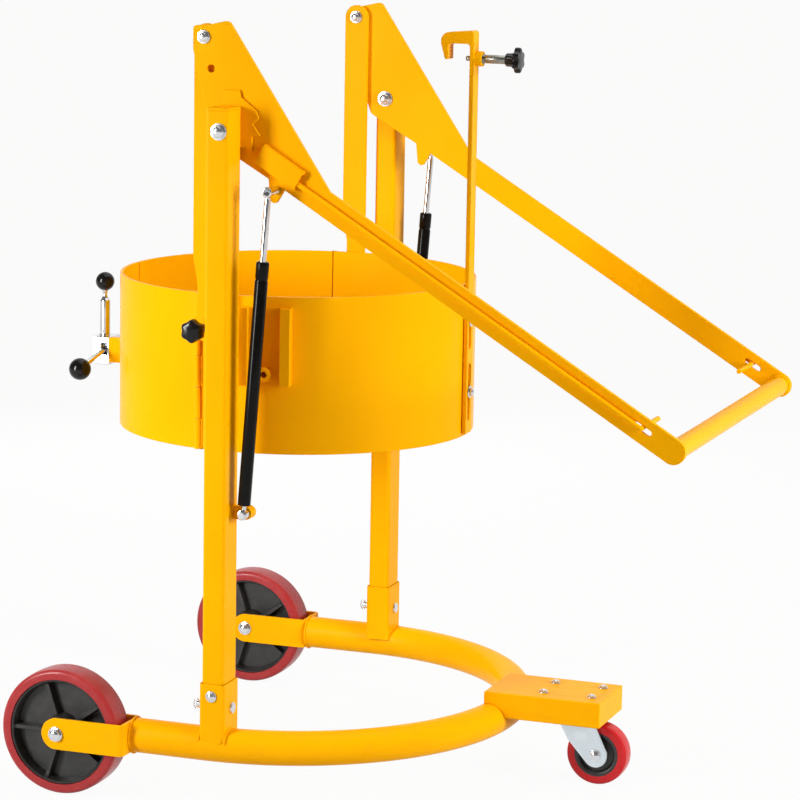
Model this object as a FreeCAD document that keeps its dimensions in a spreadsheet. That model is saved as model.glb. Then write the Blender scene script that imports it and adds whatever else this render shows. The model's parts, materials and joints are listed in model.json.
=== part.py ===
# Drum tipper: a wheeled horseshoe frame with two posts, a hand lever that lifts a clamping saddle,
# and a saddle that tips about two trunnions. Millimetres, +Z up, +X towards the hand grip.
import math
import os
from types import SimpleNamespace

import FreeCAD
import Part
import Sketcher

# Driving dimensions, one named value each
SIZES = {
    # clearances
    "run_gap": 0.06,        # a turning pin in its bore, on the radius
    "bolt_gap": 0.1,        # a fixed bolt in its hole, on the radius
    "face_gap": 0.3,        # between faces that pass each other
    "overrun": 2.0,         # how far a cut runs past its piece
    # horseshoe base
    "tube_d": 54.0,
    "tube_wall": 4.0,
    "rail_out": 5.0,        # rail's centre line outside the post's
    "rail_rear": 118.0,     # rails end this far behind the saddle's axis
    # rear wheels and their forks
    "wheel_r": 100.0,
    "wheel_w": 50.0,
    "wheel_out": 12.0,      # wheel's middle outside the rail's
    "axle_behind": 114.0,   # axle behind the rail's end
    "tread_wall": 16.0,
    "rim_wall": 8.0,
    "core_w": 46.0,
    "web_w": 10.0,
    "hub_r": 24.0,
    "hub_w": 56.0,
    "rib_w": 9.0,
    "rib_depth": 36.0,
    "tread_round": 7.0,
    "fork_strap": 6.0,
    "fork_bend": 10.0,
    "fork_tall": 50.0,
    "fork_gap": 2.0,        # between a hub and its fork
    "axle_r": 8.0,
    "axle_head_r": 12.0,
    "axle_head": 10.0,
    # front caster and its box
    "box_tuck": 14.0,       # box reaches back over the front bend by this
    "box_nose": 63.0,       # box ahead of the kingpin
    "box_w": 128.0,
    "box_rise": 47.0,       # box's top over the tube's centre line
    "box_tall": 41.0,
    "box_wall": 5.0,
    "king_out": 116.0,      # kingpin ahead of the front bend's centre line
    "plate_l": 105.0,
    "plate_w": 85.0,
    "plate_thick": 5.0,
    "plate_bolt_x": 40.0,
    "plate_bolt_y": 32.0,
    "plate_bolt_r": 4.0,
    "plate_head_r": 7.5,
    "plate_head": 6.0,
    "race_r": 32.0,
    "race_h": 8.5,
    "king_r": 6.0,
    "king_head_r": 11.0,
    "king_head": 6.0,
    "swivel_r": 34.0,
    "swivel_h": 6.0,
    "trail": 45.0,
    "caster_r": 50.0,
    "caster_w": 32.0,
    "caster_tread": 14.0,
    "caster_hub_w": 35.0,
    "caster_leg": 4.0,
    "caster_gap": 0.5,
    "caster_eye_r": 19.5,
    "leg_back": 31.0,
    "caster_axle_r": 6.0,
    "caster_nut_r": 9.5,
    "caster_nut": 5.0,
    "caster_round": 4.0,
    # posts in their sockets
    "post_x": 21.1,         # centre of a post, ahead of the saddle's axis
    "post_l": 36.0,
    "post_w": 54.0,
    "post_wall": 3.0,
    "post_round": 6.0,      # outer corners of the section
    "post_over": 31.0,      # post above the fulcrum
    "cap_h": 4.0,
    "socket_wall": 2.5,
    "socket_rise": 101.0,   # these four over the tube's centre line
    "socket_foot": 8.0,
    "socket_bolt_rise": 82.0,
    "socket_bolt_r": 5.0,
    "socket_bolt_in": 9.0,  # its end from the post's middle
    "socket_head_r": 9.0,
    "socket_head": 6.0,
    "clevis_rise": 60.0,
    "clevis_r": 6.0,
    "clevis_head_r": 9.0,
    "clevis_head": 4.0,
    "clevis_tail": 16.0,
    "clip_wire_r": 1.6,
    # fulcrum, ratchet and lever
    "fulcrum_ahead": 3.9,   # fulcrum ahead of the post's centre
    "fulcrum_z": 1049.0,
    "fulcrum_r": 10.0,
    "fulcrum_head_r": 13.0,
    "fulcrum_head": 9.0,
    "sector_thick": 4.4,
    "sector_gap": 1.0,      # between a sector and its lever plate
    "tooth_tip_r": 45.0,
    "tooth_deep": 12.0,
    "rim_r": 49.5,          # smooth rim under the lobe
    "rim_step": 2.3,        # how much it loses down to the teeth
    "sector_back": 17.0,
    "lobe_rise": 58.5,      # top of the lobe over the fulcrum
    "lobe_out": 9.5,
    "lever_thick": 8.0,
    "arm_w": 38.5,
    "arm_drop": 14.0,       # arm's middle line below the fulcrum
    "grip_reach": 824.0,    # grip from the fulcrum, along the arm
    "grip_r": 15.5,
    "grip_wall": 3.0,
    "head_rim": 18.0,       # metal behind the load pivot's centre
    "head_over": 17.0,      # and above it
    "head_dip_x": 5.0,      # dip ahead of the load pivot
    "head_dip_over": 18.0,
    "head_peak_x": 11.0,
    "head_peak_over": 26.0,
    "head_under": 19.0,
    "head_waist_x": 51.0,
    "head_waist": 44.0,
    "head_foot": 26.0,
    "head_meet": 178.0,     # slanted edge meets the arm here, along the arm
    "lever_round": 10.0,
    "corner_round": 6.0,
    "spare_ahead": 12.0,    # spare hole from the load pivot
    "spare_below": 47.0,
    "spare_r": 6.0,
    "ear_along": 105.8,     # gas spring's stud from the fulcrum, along the arm
    "ear_below": 40.0,      # and below the line through the fulcrum
    "ear_r": 10.0,
    "ear_tip": 20.0,        # metal below the stud
    "ear_back": 20.0,       # slanted edge's root behind the stud
    "stud_r": 7.0,
    # pawls and release rods
    "pawl_thick": 4.0,
    "pawl_w": 8.0,
    "pawl_clear": 5.5,      # released nose from the teeth's tips
    "pawl_tail": 95.0,
    "pawl_end": 118.0,
    "pawl_travel": 9.0,     # from the released place into the teeth
    "housing_near": 56.0,
    "housing_far": 131.0,
    "housing_wall": 6.0,
    "housing_cover": 3.0,
    "rod_r": 4.0,
    "rod_drop": 12.0,       # rod's middle line below the fulcrum
    "finger_back": 58.0,    # finger peg short of the grip
    "finger_reach": 82.0,   # peg inside the lever plate
    "finger_slot": 13.0,    # slot past the peg, towards the grip
    # hanger bars on the load pivot
    "pivot_back": 51.0,     # load pivot behind the fulcrum
    "pivot_up": 136.0,      # and above it
    "pivot_r": 8.0,
    "pivot_head_r": 10.5,
    "pivot_head": 8.0,
    "hanger_w": 40.0,
    "hanger_off": 24.0,     # hanger outside the band
    "hanger_drop": 443.0,   # load pivot down to the trunnions
    "hanger_thick": 8.0,
    "hanger_gap": 1.6,      # between a hanger and its lever plate
    "taper_from_up": 111.0, # over the trunnions
    "taper_to_up": 64.0,
    "taper_in": 8.0,
    "hanger_eye_r": 22.0,
    # saddle band, gates and trunnions
    "trunnion_rise": 197.0, # trunnions over the band's lower edge
    "trunnion_r": 10.0,
    "trunnion_head_r": 15.0,
    "trunnion_head": 6.0,
    "boss_r": 18.0,
    "band_in": 282.0,
    "band_wall": 5.0,
    "band_tall": 245.0,
    "knuckle_r": 4.2,
    "hinge_pin_r": 2.1,
    "leaf_wall": 2.5,
    "knuckle_gap": 0.6,
    # bracket with a bush on the left side of the band
    "bracket_w": 82.0,
    "bracket_rise": 109.0,  # over the band's lower edge
    "bracket_tall": 120.0,
    "bracket_web": 4.0,
    "bracket_rib": 16.0,
    "bracket_gap": 3.0,     # ribs inside the hanger's inner face
    "bush_r": 11.0,
    "bush_bore": 5.0,
    "bush_l": 14.0,
    "bush_rise": 17.5,      # over the bracket's lower edge
    # gate latch
    "latch_off": 42.5,      # latch block outside the band
    "latch_deep": 31.5,
    "latch_rise": 72.0,     # over the band's lower edge
    "latch_tall": 46.0,
    "latch_left": 16.0,
    "latch_right": 28.0,
    "foot_rise": 5.0,       # its foot over the block's lower face
    "split_half": 2.0,
    "pin_in": 20.9,         # pin inside the block
    "pin_y": 13.5,
    "pin_r": 8.5,
    "pin_stand": 81.0,      # raised pin above the block
    "pin_hole_gap": 0.6,
    "ball_over": 8.0,
    "ball_r": 15.5,
    "keeper_wall": 10.0,
    "keeper_rise": 6.0,     # over the block's lower face
    "keeper_gap": 1.0,
    "keeper_past": 2.5,     # keeper's end behind the block
    "handle_in": 8.9,       # handle inside the block
    "handle_y": -5.0,
    "handle_rise": 27.8,    # over the block's lower face
    "handle_boss_r": 7.0,
    "handle_boss": 10.0,
    "pocket_above": 7.6,    # pocket round the handle eye
    "pocket_below": 10.4,
    "handle_pivot_r": 3.0,
    "handle_pivot": 8.6,
    "handle_rod_r": 4.5,
    "handle_reach": 104.0,
    "handle_ball_r": 18.0,
    # top hook with its clamping screw
    "hook_gap": 1.2,        # bar outside the band
    "hook_thick": 6.6,
    "hook_w": 26.0,
    "hook_rise": 5.0,       # over the band's lower edge
    "hook_tall": 640.0,
    "hook_arm": 21.0,
    "hook_reach": 48.0,
    "hook_fall": 4.5,       # what its back loses towards the tip
    "hook_tip_w": 12.5,
    "hook_point_w": 5.5,
    "hook_tip_drop": 46.0,
    "hook_round": 14.0,
    "hook_fillet": 5.0,
    "hook_point_round": 2.5,
    "slide_bolt_r": 5.0,
    "slide_high": 187.0,    # guide bolts over the band's lower edge
    "slide_low": 72.0,
    "slot_half": 46.0,
    "slot_gap": 0.4,
    "spacer_r": 9.0,
    "washer_r": 10.0,
    "washer_h": 2.0,
    "slide_head_r": 8.5,
    "slide_head": 6.0,
    "screw_drop": 44.0,     # screw below the hook's top
    "screw_r": 7.0,
    "screw_past": 9.5,      # screw's tip inside the bar
    "screw_point_r": 4.0,
    "screw_boss_r": 12.0,
    "screw_boss": 12.0,
    "screw_shank": 50.0,    # bar to the knob's hub
    "screw_hub_r": 11.0,
    "screw_hub": 14.0,
    "star_h": 11.0,
    "star_r": 14.0,
    "star_lobe_r": 6.0,
    # tilt clamp knob
    "clamp_r": 6.0,
    "clamp_in": 15.0,
    "clamp_clear": 28.7,    # knob outside the trunnion's head
    "clamp_star_h": 20.0,
    "clamp_star_r": 12.8,
    "clamp_lobe_r": 5.5,
    "clamp_collar_r": 11.0,
    "clamp_collar": 12.0,
    # gas springs
    "spring_off": 20.1,     # spring's lower pin ahead of the post
    "spring_z": 465.0,
    "spring_eye_r": 8.0,
    "spring_eye_w": 15.0,
    "spring_pin_r": 5.0,
    "spring_pin_head_r": 6.5,
    "spring_pin_head": 2.5,
    "lug_wall": 20.0,
    "lug_r": 10.0,
    "cylinder_r": 10.0,
    "cylinder_bore": 8.5,
    "cylinder_from": 14.0,
    "rod_shown": 105.3,     # rod above the cylinder
    "gland_h": 20.0,
    "piston_at": 110.0,
    "piston_h": 12.0,
    "piston_r": 8.2,
    "spring_rod_r": 5.0,
    "eye_bore": 4.5,        # socket in the top eye
    "eye_bore_deep": 10.0,
}
# Driving angles in degrees; those of the saddle are counted from its front
ANGLES = {
    "arm_slope_angle": 31.2,      # arm below level at rest
    "band_half_angle": 99.95,     # end of the fixed band
    "hinge_angle": 100.1,         # gate hinge pin
    "gate_from_angle": 100.25,
    "gate_to_angle": 179.6,
    "leaf_angle": 1.3,            # what a hinge leaf covers
    "bracket_angle": 78.0,        # middle of the bracket with a bush
    "handle_droop_angle": 12.0,   # latch handle below level at rest
}
RIM_TURNS = (76.0, 38.0)                # degrees, the sector's smooth rim above its teeth
TOOTH_TURNS = (23.0, -10.5, -46.5)      # degrees, tips of the ratchet teeth
TOOTH_DROP = 8.0                        # degrees from a tip to the root under it
LOBES = 6
STAR_TURN = 30.0                        # degrees, a knob lobe over level
RIBS = 5
RIB_TURN = 36.0                         # degrees, the first rib over level
KNUCKLES = 5
SAME_SPOT = 0.001
SIDES = (("left", -1), ("right", 1))


# A length that knows both its number and its spreadsheet expression
class Size:
    def __init__(self, value, text):
        self.value = value
        self.text = text

    def __add__(self, other):
        other = lift(other)
        return Size(self.value + other.value, f"({self.text} + {other.text})")

    def __sub__(self, other):
        other = lift(other)
        return Size(self.value - other.value, f"({self.text} - {other.text})")

    def __mul__(self, other):
        other = lift(other)
        return Size(self.value * other.value, f"({self.text} * {other.text})")

    def __truediv__(self, other):
        other = lift(other)
        return Size(self.value / other.value, f"({self.text} / {other.text})")

    def __neg__(self):
        return Size(-self.value, f"(0 - {self.text})")

    def __radd__(self, other):
        return lift(other) + self

    def __rsub__(self, other):
        return lift(other) - self

    def __rmul__(self, other):
        return lift(other) * self


def lift(number):
    if isinstance(number, Size):
        return number
    return Size(number, f"({number})")


def cosine(angle):
    angle = lift(angle)
    return Size(math.cos(math.radians(angle.value)), f"cos({angle.text} * 1 deg)")


def sine(angle):
    angle = lift(angle)
    return Size(math.sin(math.radians(angle.value)), f"sin({angle.text} * 1 deg)")


def root(size):
    return Size(math.sqrt(size.value), f"sqrt({size.text})")


doc = FreeCAD.newDocument("DrumTipper")
sheet = doc.addObject("Spreadsheet::Sheet", "Sizes")
for row, (name, value) in enumerate({**SIZES, **ANGLES}.items(), 1):
    sheet.set(f"A{row}", name)
    sheet.set(f"B{row}", str(value))
    sheet.setAlias(f"B{row}", name)
doc.recompute()
s = SimpleNamespace(**{name: Size(value, "Sizes." + name) for name, value in {**SIZES, **ANGLES}.items()})

X = FreeCAD.Vector(1, 0, 0)
Y = FreeCAD.Vector(0, 1, 0)
Z = FreeCAD.Vector(0, 0, 1)
ALONG = {
    "x": FreeCAD.Rotation(Y, 90),
    "y": FreeCAD.Rotation(X, -90),
    "z": FreeCAD.Rotation(),
}
nodes = []


# Helpers that make one bound piece each
def bind(item, **sizes):
    for prop, size in sizes.items():
        item.setExpression(prop, lift(size).text)


def put(item, x=0, y=0, z=0, turn=None):
    place = FreeCAD.Vector(lift(x).value, lift(y).value, lift(z).value)
    item.Placement = FreeCAD.Placement(place, turn or FreeCAD.Rotation())
    for letter, size in zip("xyz", (x, y, z)):
        item.setExpression("Placement.Base." + letter, lift(size).text)
    return item


def block(x0, x1, y0, y1, z0, z1):
    """A box between two faces on each axis."""
    item = doc.addObject("Part::Box", "Block")
    bind(item, Length=x1 - x0, Width=y1 - y0, Height=z1 - z0)
    return put(item, x0, y0, z0)


def rod(radius, axis, start, end, u, v, angle=None):
    """A cylinder along one axis from start to end, at u, v on the other two axes in x, y, z order."""
    item = doc.addObject("Part::Cylinder", "Rod")
    bind(item, Radius=radius, Height=lift(end) - start)
    if angle is not None:
        bind(item, Angle=angle)
    return stand(item, axis, start, u, v)


def hexagon(radius, axis, start, end, u, v):
    item = doc.addObject("Part::Prism", "Hexagon")
    item.Polygon = 6
    bind(item, Circumradius=radius, Height=lift(end) - start)
    return stand(item, axis, start, u, v)


def stand(item, axis, start, u, v):
    places = {"x": (start, u, v), "y": (u, start, v), "z": (u, v, start)}[axis]
    return put(item, *places, turn=ALONG[axis])


def ball(radius, x, y, z):
    item = doc.addObject("Part::Sphere", "Ball")
    bind(item, Radius=radius)
    return put(item, x, y, z)


def hoop(radius, wire, x, y, z, axis="x"):
    item = doc.addObject("Part::Torus", "Hoop")
    bind(item, Radius1=radius, Radius2=wire)
    return put(item, x, y, z, turn=ALONG[axis])


def join(*items):
    if len(items) == 1:
        return items[0]
    item = doc.addObject("Part::MultiFuse", "Join")
    item.Shapes = list(items)
    item.Refine = True
    return item


def cut(base, *tools):
    item = doc.addObject("Part::Cut", "Cut")
    item.Base = base
    item.Tool = join(*tools)
    return item


def group(*items):
    item = doc.addObject("Part::Compound", "Group")
    item.Links = list(items)
    return item


def swing(item, degrees):
    """Wrap a piece and turn it about the saddle's vertical axis."""
    wrap = group(item)
    wrap.Placement = FreeCAD.Placement(FreeCAD.Vector(), Z, 1)
    wrap.setExpression("Placement.Rotation.Angle", lift(degrees).text)
    return wrap


def plate(points, thick, middle):
    """An outline of x, z corners, padded evenly about y = middle; a corner's third item rounds it."""
    body = doc.addObject("PartDesign::Body", "Plate")
    sketch = body.newObject("Sketcher::SketchObject", "Outline")
    plane = [f for f in body.Origin.OriginFeatures if f.Role == "XZ_Plane"][0]
    sketch.AttachmentSupport = (plane, [""])
    sketch.MapMode = "FlatFace"
    spots = [FreeCAD.Vector(lift(u).value, lift(v).value, 0) for u, v, *_ in points]
    count = len(spots)
    for i in range(count):
        sketch.addGeometry(Part.LineSegment(spots[i], spots[(i + 1) % count]), False)
    for i in range(count):
        sketch.addConstraint(Sketcher.Constraint("Coincident", i, 2, (i + 1) % count, 1))
    for i, (u, v, *_) in enumerate(points):
        for kind, size in (("DistanceX", u), ("DistanceY", v)):
            at = sketch.addConstraint(Sketcher.Constraint(kind, -1, 1, i, 1, lift(size).value))
            sketch.setExpression(f"Constraints[{at}]", lift(size).text)
    pad = body.newObject("PartDesign::Pad", "Pad")
    pad.Profile = sketch
    pad.SideType = "Symmetric"
    bind(pad, Length=thick)
    doc.recompute()
    for spot, (_, _, *rounding) in zip(spots, points):
        if not rounding:
            continue
        sharp = body.Tip
        names = [f"Edge{k}" for k, edge in enumerate(sharp.Shape.Edges, 1) if stands_at(edge, spot)]
        fillet = body.newObject("PartDesign::Fillet", "Round")
        fillet.Base = (sharp, names)
        bind(fillet, Radius=rounding[0])
        doc.recompute()
    return put(body, 0, middle, 0)


def stands_at(edge, spot):
    """True for an edge along y through the outline's corner at spot."""
    if len(edge.Vertexes) != 2:
        return False
    return all(math.hypot(v.X - spot.x, v.Z - spot.y) < SAME_SPOT for v in edge.Vertexes)


def round_edges(item, wanted, radius):
    """Fillet every edge of a finished piece that wanted(edge) picks."""
    doc.recompute()
    item_round = doc.addObject("Part::Fillet", "Rounded")
    item_round.Base = item
    picked = [k for k, edge in enumerate(item.Shape.Edges, 1) if wanted(edge)]
    item_round.Edges = [(k, radius.value, radius.value) for k in picked]
    return item_round


def upright(edge):
    """Pick straight edges along z."""
    ends = edge.Vertexes
    if len(ends) != 2:
        return False
    return math.hypot(ends[0].X - ends[1].X, ends[0].Y - ends[1].Y) < SAME_SPOT


def circle_of(radius):
    """Pick the full circles of one radius."""
    def wanted(edge):
        curve = edge.Curve
        return isinstance(curve, Part.Circle) and abs(curve.Radius - radius.value) < SAME_SPOT
    return wanted


def node(name, *items):
    """Name a finished sub-part and move it into the shared frame."""
    item = group(*items)
    item.Label = name
    put(item, -frame_x, 0, 0)
    nodes.append(item)


def star(axis, start, end, u, v, disc_r, lobe_r):
    """A star knob: a disc with round lobes on its rim."""
    pieces = [rod(disc_r, axis, start, end, u, v)]
    for k in range(LOBES):
        turn = STAR_TURN + 360.0 * k / LOBES
        pieces.append(rod(lobe_r, axis, start, end, u + disc_r * math.cos(math.radians(turn)),
                          v + disc_r * math.sin(math.radians(turn))))
    return join(*pieces)


def lever_spot(along, above):
    """x, z of a place given along the arm's direction from the fulcrum and square to it."""
    x = fulcrum_x + along * cosine(s.arm_slope_angle) + above * sine(s.arm_slope_angle)
    z = s.fulcrum_z - along * sine(s.arm_slope_angle) + above * cosine(s.arm_slope_angle)
    return x, z


# Places across the part, from the band outwards
band_out = s.band_in + s.band_wall
hinge_r = band_out + s.knuckle_r
hanger_in = band_out + s.hanger_off
hanger_out = hanger_in + s.hanger_thick
lever_in = hanger_out + s.hanger_gap
lever_out = lever_in + s.lever_thick
lever_y = lever_in + s.lever_thick / 2
post_in = lever_out + s.sector_gap + s.sector_thick
post_y = post_in + s.post_w / 2
rail_y = post_y + s.rail_out
wheel_y = rail_y + s.wheel_out
clamp_in = hanger_out + s.face_gap + s.trunnion_head
clamp_out = clamp_in + s.clamp_clear

# Heights and lengths that several pieces share
base_z = s.wheel_r
tube_r = s.tube_d / 2
axle_x = -s.rail_rear - s.axle_behind
king_x = rail_y + s.king_out
caster_x = king_x + s.trail
post_front = s.post_x + s.post_l / 2
fulcrum_x = s.post_x + s.fulcrum_ahead
pivot_x = fulcrum_x - s.pivot_back
pivot_z = s.fulcrum_z + s.pivot_up
trunnion_z = pivot_z - s.hanger_drop
band_low = trunnion_z - s.trunnion_rise
band_top = band_low + s.band_tall
latch_foot = band_out + s.latch_off
latch_back = latch_foot + s.latch_deep
grip_x, grip_z = lever_spot(s.grip_reach, -s.arm_drop)
ear_x, ear_z = lever_spot(s.ear_along, -s.ear_below)
pin_x = -latch_foot - s.pin_in
handle_x = -latch_foot - s.handle_in
frame_x = (grip_x + s.arm_w / 2 + pin_x - s.ball_r) / 2


# Horseshoe base tube
def horseshoe(radius, ends):
    bend = hoop(rail_y, radius, 0, 0, base_z, "z")
    bend.Angle3 = 180
    bend.Placement = FreeCAD.Placement(FreeCAD.Vector(), FreeCAD.Rotation(Z, -90))
    bind(bend, **{"Placement.Base.z": base_z})
    rails = [rod(radius, "x", -s.rail_rear - ends, 0, side * rail_y, base_z) for _, side in SIDES]
    return join(bend, *rails)


base_outer = horseshoe(tube_r, lift(0))
base_bore = horseshoe(tube_r - s.tube_wall, s.overrun)
node("base_tube", cut(base_outer, base_bore))

# Rear forks, axles and wheels
core_r = s.wheel_r - s.tread_wall
fork_inside = s.hub_w + s.fork_gap * 2
fork_out = fork_inside / 2 + s.fork_strap
axles = []
for name, side in SIDES:
    middle = wheel_y * side
    web = block(-s.rail_rear - s.fork_strap, -s.rail_rear, middle - fork_out, middle + fork_out,
                base_z - s.fork_tall / 2, base_z + s.fork_tall / 2)
    legs = []
    for hand in (-1, 1):
        inner = middle + hand * fork_inside / 2
        outer = middle + hand * fork_out
        low, high = (outer, inner) if hand < 0 else (inner, outer)
        legs.append(block(axle_x, -s.rail_rear - s.fork_strap, low, high,
                          base_z - s.fork_tall / 2, base_z + s.fork_tall / 2))
        legs.append(rod(s.fork_tall / 2, "y", low, high, axle_x, base_z))
    hole = rod(s.axle_r + s.bolt_gap, "y", middle - fork_out - s.overrun, middle + fork_out + s.overrun,
               axle_x, base_z)
    strap = cut(join(web, *legs), hole)
    corners = [(-s.rail_rear.value, (middle + hand * fork_out).value) for hand in (-1, 1)]

    def at_bend(edge):
        foot = edge.Vertexes[0]
        return upright(edge) and any(math.hypot(foot.X - x, foot.Y - y) < SAME_SPOT for x, y in corners)

    node("rear_fork_" + name, round_edges(strap, at_bend, s.fork_bend))

    axles.append(rod(s.axle_r, "y", middle - fork_out, middle + fork_out, axle_x, base_z))
    axles.append(hexagon(s.axle_head_r, "y", middle + fork_out, middle + fork_out + s.axle_head,
                         axle_x, base_z))
    axles.append(hexagon(s.axle_head_r, "y", middle - fork_out - s.axle_head, middle - fork_out,
                         axle_x, base_z))

    def disc(radius, width):
        return rod(radius, "y", middle - width / 2, middle + width / 2, axle_x, base_z)

    ribs = []
    for k in range(RIBS):
        rib = block(lift(0), core_r - s.rim_wall / 2, -s.rib_w / 2, s.rib_w / 2,
                    -s.rib_depth / 2, s.rib_depth / 2)
        turned = group(rib)
        put(turned, axle_x, middle, base_z,
            turn=FreeCAD.Rotation(Y, -RIB_TURN - 360.0 * k / RIBS).multiply(FreeCAD.Rotation(X, 90)))
        ribs.append(turned)
    rim = cut(disc(core_r, s.core_w), disc(core_r - s.rim_wall, s.core_w + s.overrun))
    core = join(disc(s.hub_r, s.hub_w), disc(core_r - s.rim_wall / 2, s.web_w), rim, *ribs)
    node("rear_core_" + name, cut(core, disc(s.axle_r + s.run_gap, s.hub_w + s.overrun)))
    tread = cut(disc(s.wheel_r, s.wheel_w), disc(core_r, s.wheel_w + s.overrun))
    node("rear_tread_" + name, round_edges(tread, circle_of(s.wheel_r), s.tread_round))
node("rear_axles", join(*axles[:3]), join(*axles[3:]))

# Caster box, caster plate and kingpin
box_back = rail_y - s.box_tuck
box_front = king_x + s.box_nose
box_top = base_z + s.box_rise
box_low = box_top - s.box_tall
half = s.box_w / 2
shell = block(box_back, box_front, -half, half, box_low, box_top)
inside = block(box_back - s.overrun, box_front - s.box_wall, s.box_wall - half, half - s.box_wall,
               box_low - s.overrun, box_top - s.box_wall)
plate_top = box_top - s.box_wall
plate_low = plate_top - s.plate_thick
bolt_spots = [(king_x + i * s.plate_bolt_x, j * s.plate_bolt_y) for i in (-1, 1) for j in (-1, 1)]
bolt_holes = [rod(s.plate_bolt_r + s.bolt_gap, "z", plate_low - s.overrun, box_top + s.overrun, x, y)
              for x, y in bolt_spots]
node("caster_box", cut(shell, inside, base_outer, *bolt_holes))
top_plate = block(king_x - s.plate_l / 2, king_x + s.plate_l / 2, -s.plate_w / 2, s.plate_w / 2,
                  plate_low, plate_top)
race_low = plate_low - s.race_h
race = rod(s.race_r, "z", race_low, plate_low, king_x, 0)
king_hole = rod(s.king_r + s.bolt_gap, "z", race_low - s.overrun, plate_top + s.overrun, king_x, 0)
node("caster_plate", cut(join(top_plate, race), king_hole, *bolt_holes))
bolts = []
for x, y in bolt_spots:
    head = hexagon(s.plate_head_r, "z", box_top, box_top + s.plate_head, x, y)
    nut = hexagon(s.plate_head_r, "z", plate_low - s.plate_thick, plate_low, x, y)
    bolts.append(join(head, nut, rod(s.plate_bolt_r, "z", plate_low - s.plate_thick, box_top, x, y)))
node("caster_bolts", *bolts)
swivel_top = race_low - s.face_gap
swivel_low = swivel_top - s.swivel_h
king_low = swivel_low - s.face_gap - s.king_head
node("caster_kingpin", join(rod(s.king_r, "z", king_low, plate_top, king_x, 0),
                            rod(s.king_head_r, "z", king_low, king_low + s.king_head, king_x, 0)))

# Caster fork and wheel
caster_core_r = s.caster_r - s.caster_tread
caster_inside = s.caster_hub_w + s.caster_gap * 2
top_disc = rod(s.swivel_r, "z", swivel_low, swivel_top, king_x, 0)
leg_points = [(king_x - s.leg_back, swivel_top), (king_x + s.leg_back, swivel_top),
              (caster_x + s.caster_eye_r, s.caster_r), (caster_x - s.caster_eye_r, s.caster_r)]
legs = []
for _, side in SIDES:
    middle = (caster_inside / 2 + s.caster_leg / 2) * side
    legs.append(plate(leg_points, s.caster_leg, middle))
    legs.append(rod(s.caster_eye_r, "y", middle - s.caster_leg / 2, middle + s.caster_leg / 2,
                    caster_x, s.caster_r))
fork_side = caster_inside / 2 + s.caster_leg
axle_hole = rod(s.caster_axle_r + s.bolt_gap, "y", -fork_side - s.overrun, fork_side + s.overrun,
                caster_x, s.caster_r)
pin_hole = rod(s.king_r + s.run_gap, "z", swivel_low - s.overrun, swivel_top + s.overrun, king_x, 0)
node("caster_fork", cut(join(top_disc, *legs), axle_hole, pin_hole))
ends = [hexagon(s.caster_nut_r, "y", fork_side, fork_side + s.caster_nut, caster_x, s.caster_r),
        hexagon(s.caster_nut_r, "y", -fork_side - s.caster_nut, -fork_side, caster_x, s.caster_r)]
node("caster_axle", join(rod(s.caster_axle_r, "y", -fork_side, fork_side, caster_x, s.caster_r), *ends))


def caster_disc(radius, width):
    return rod(radius, "y", -width / 2, width / 2, caster_x, s.caster_r)


core = join(caster_disc(caster_core_r, s.caster_w), caster_disc(s.caster_eye_r, s.caster_hub_w))
node("caster_core", cut(core, caster_disc(s.caster_axle_r + s.run_gap, s.caster_hub_w + s.overrun)))
tread = cut(caster_disc(s.caster_r, s.caster_w), caster_disc(caster_core_r, s.caster_w + s.overrun))
node("caster_tread", round_edges(tread, circle_of(s.caster_r), s.caster_round))

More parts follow.
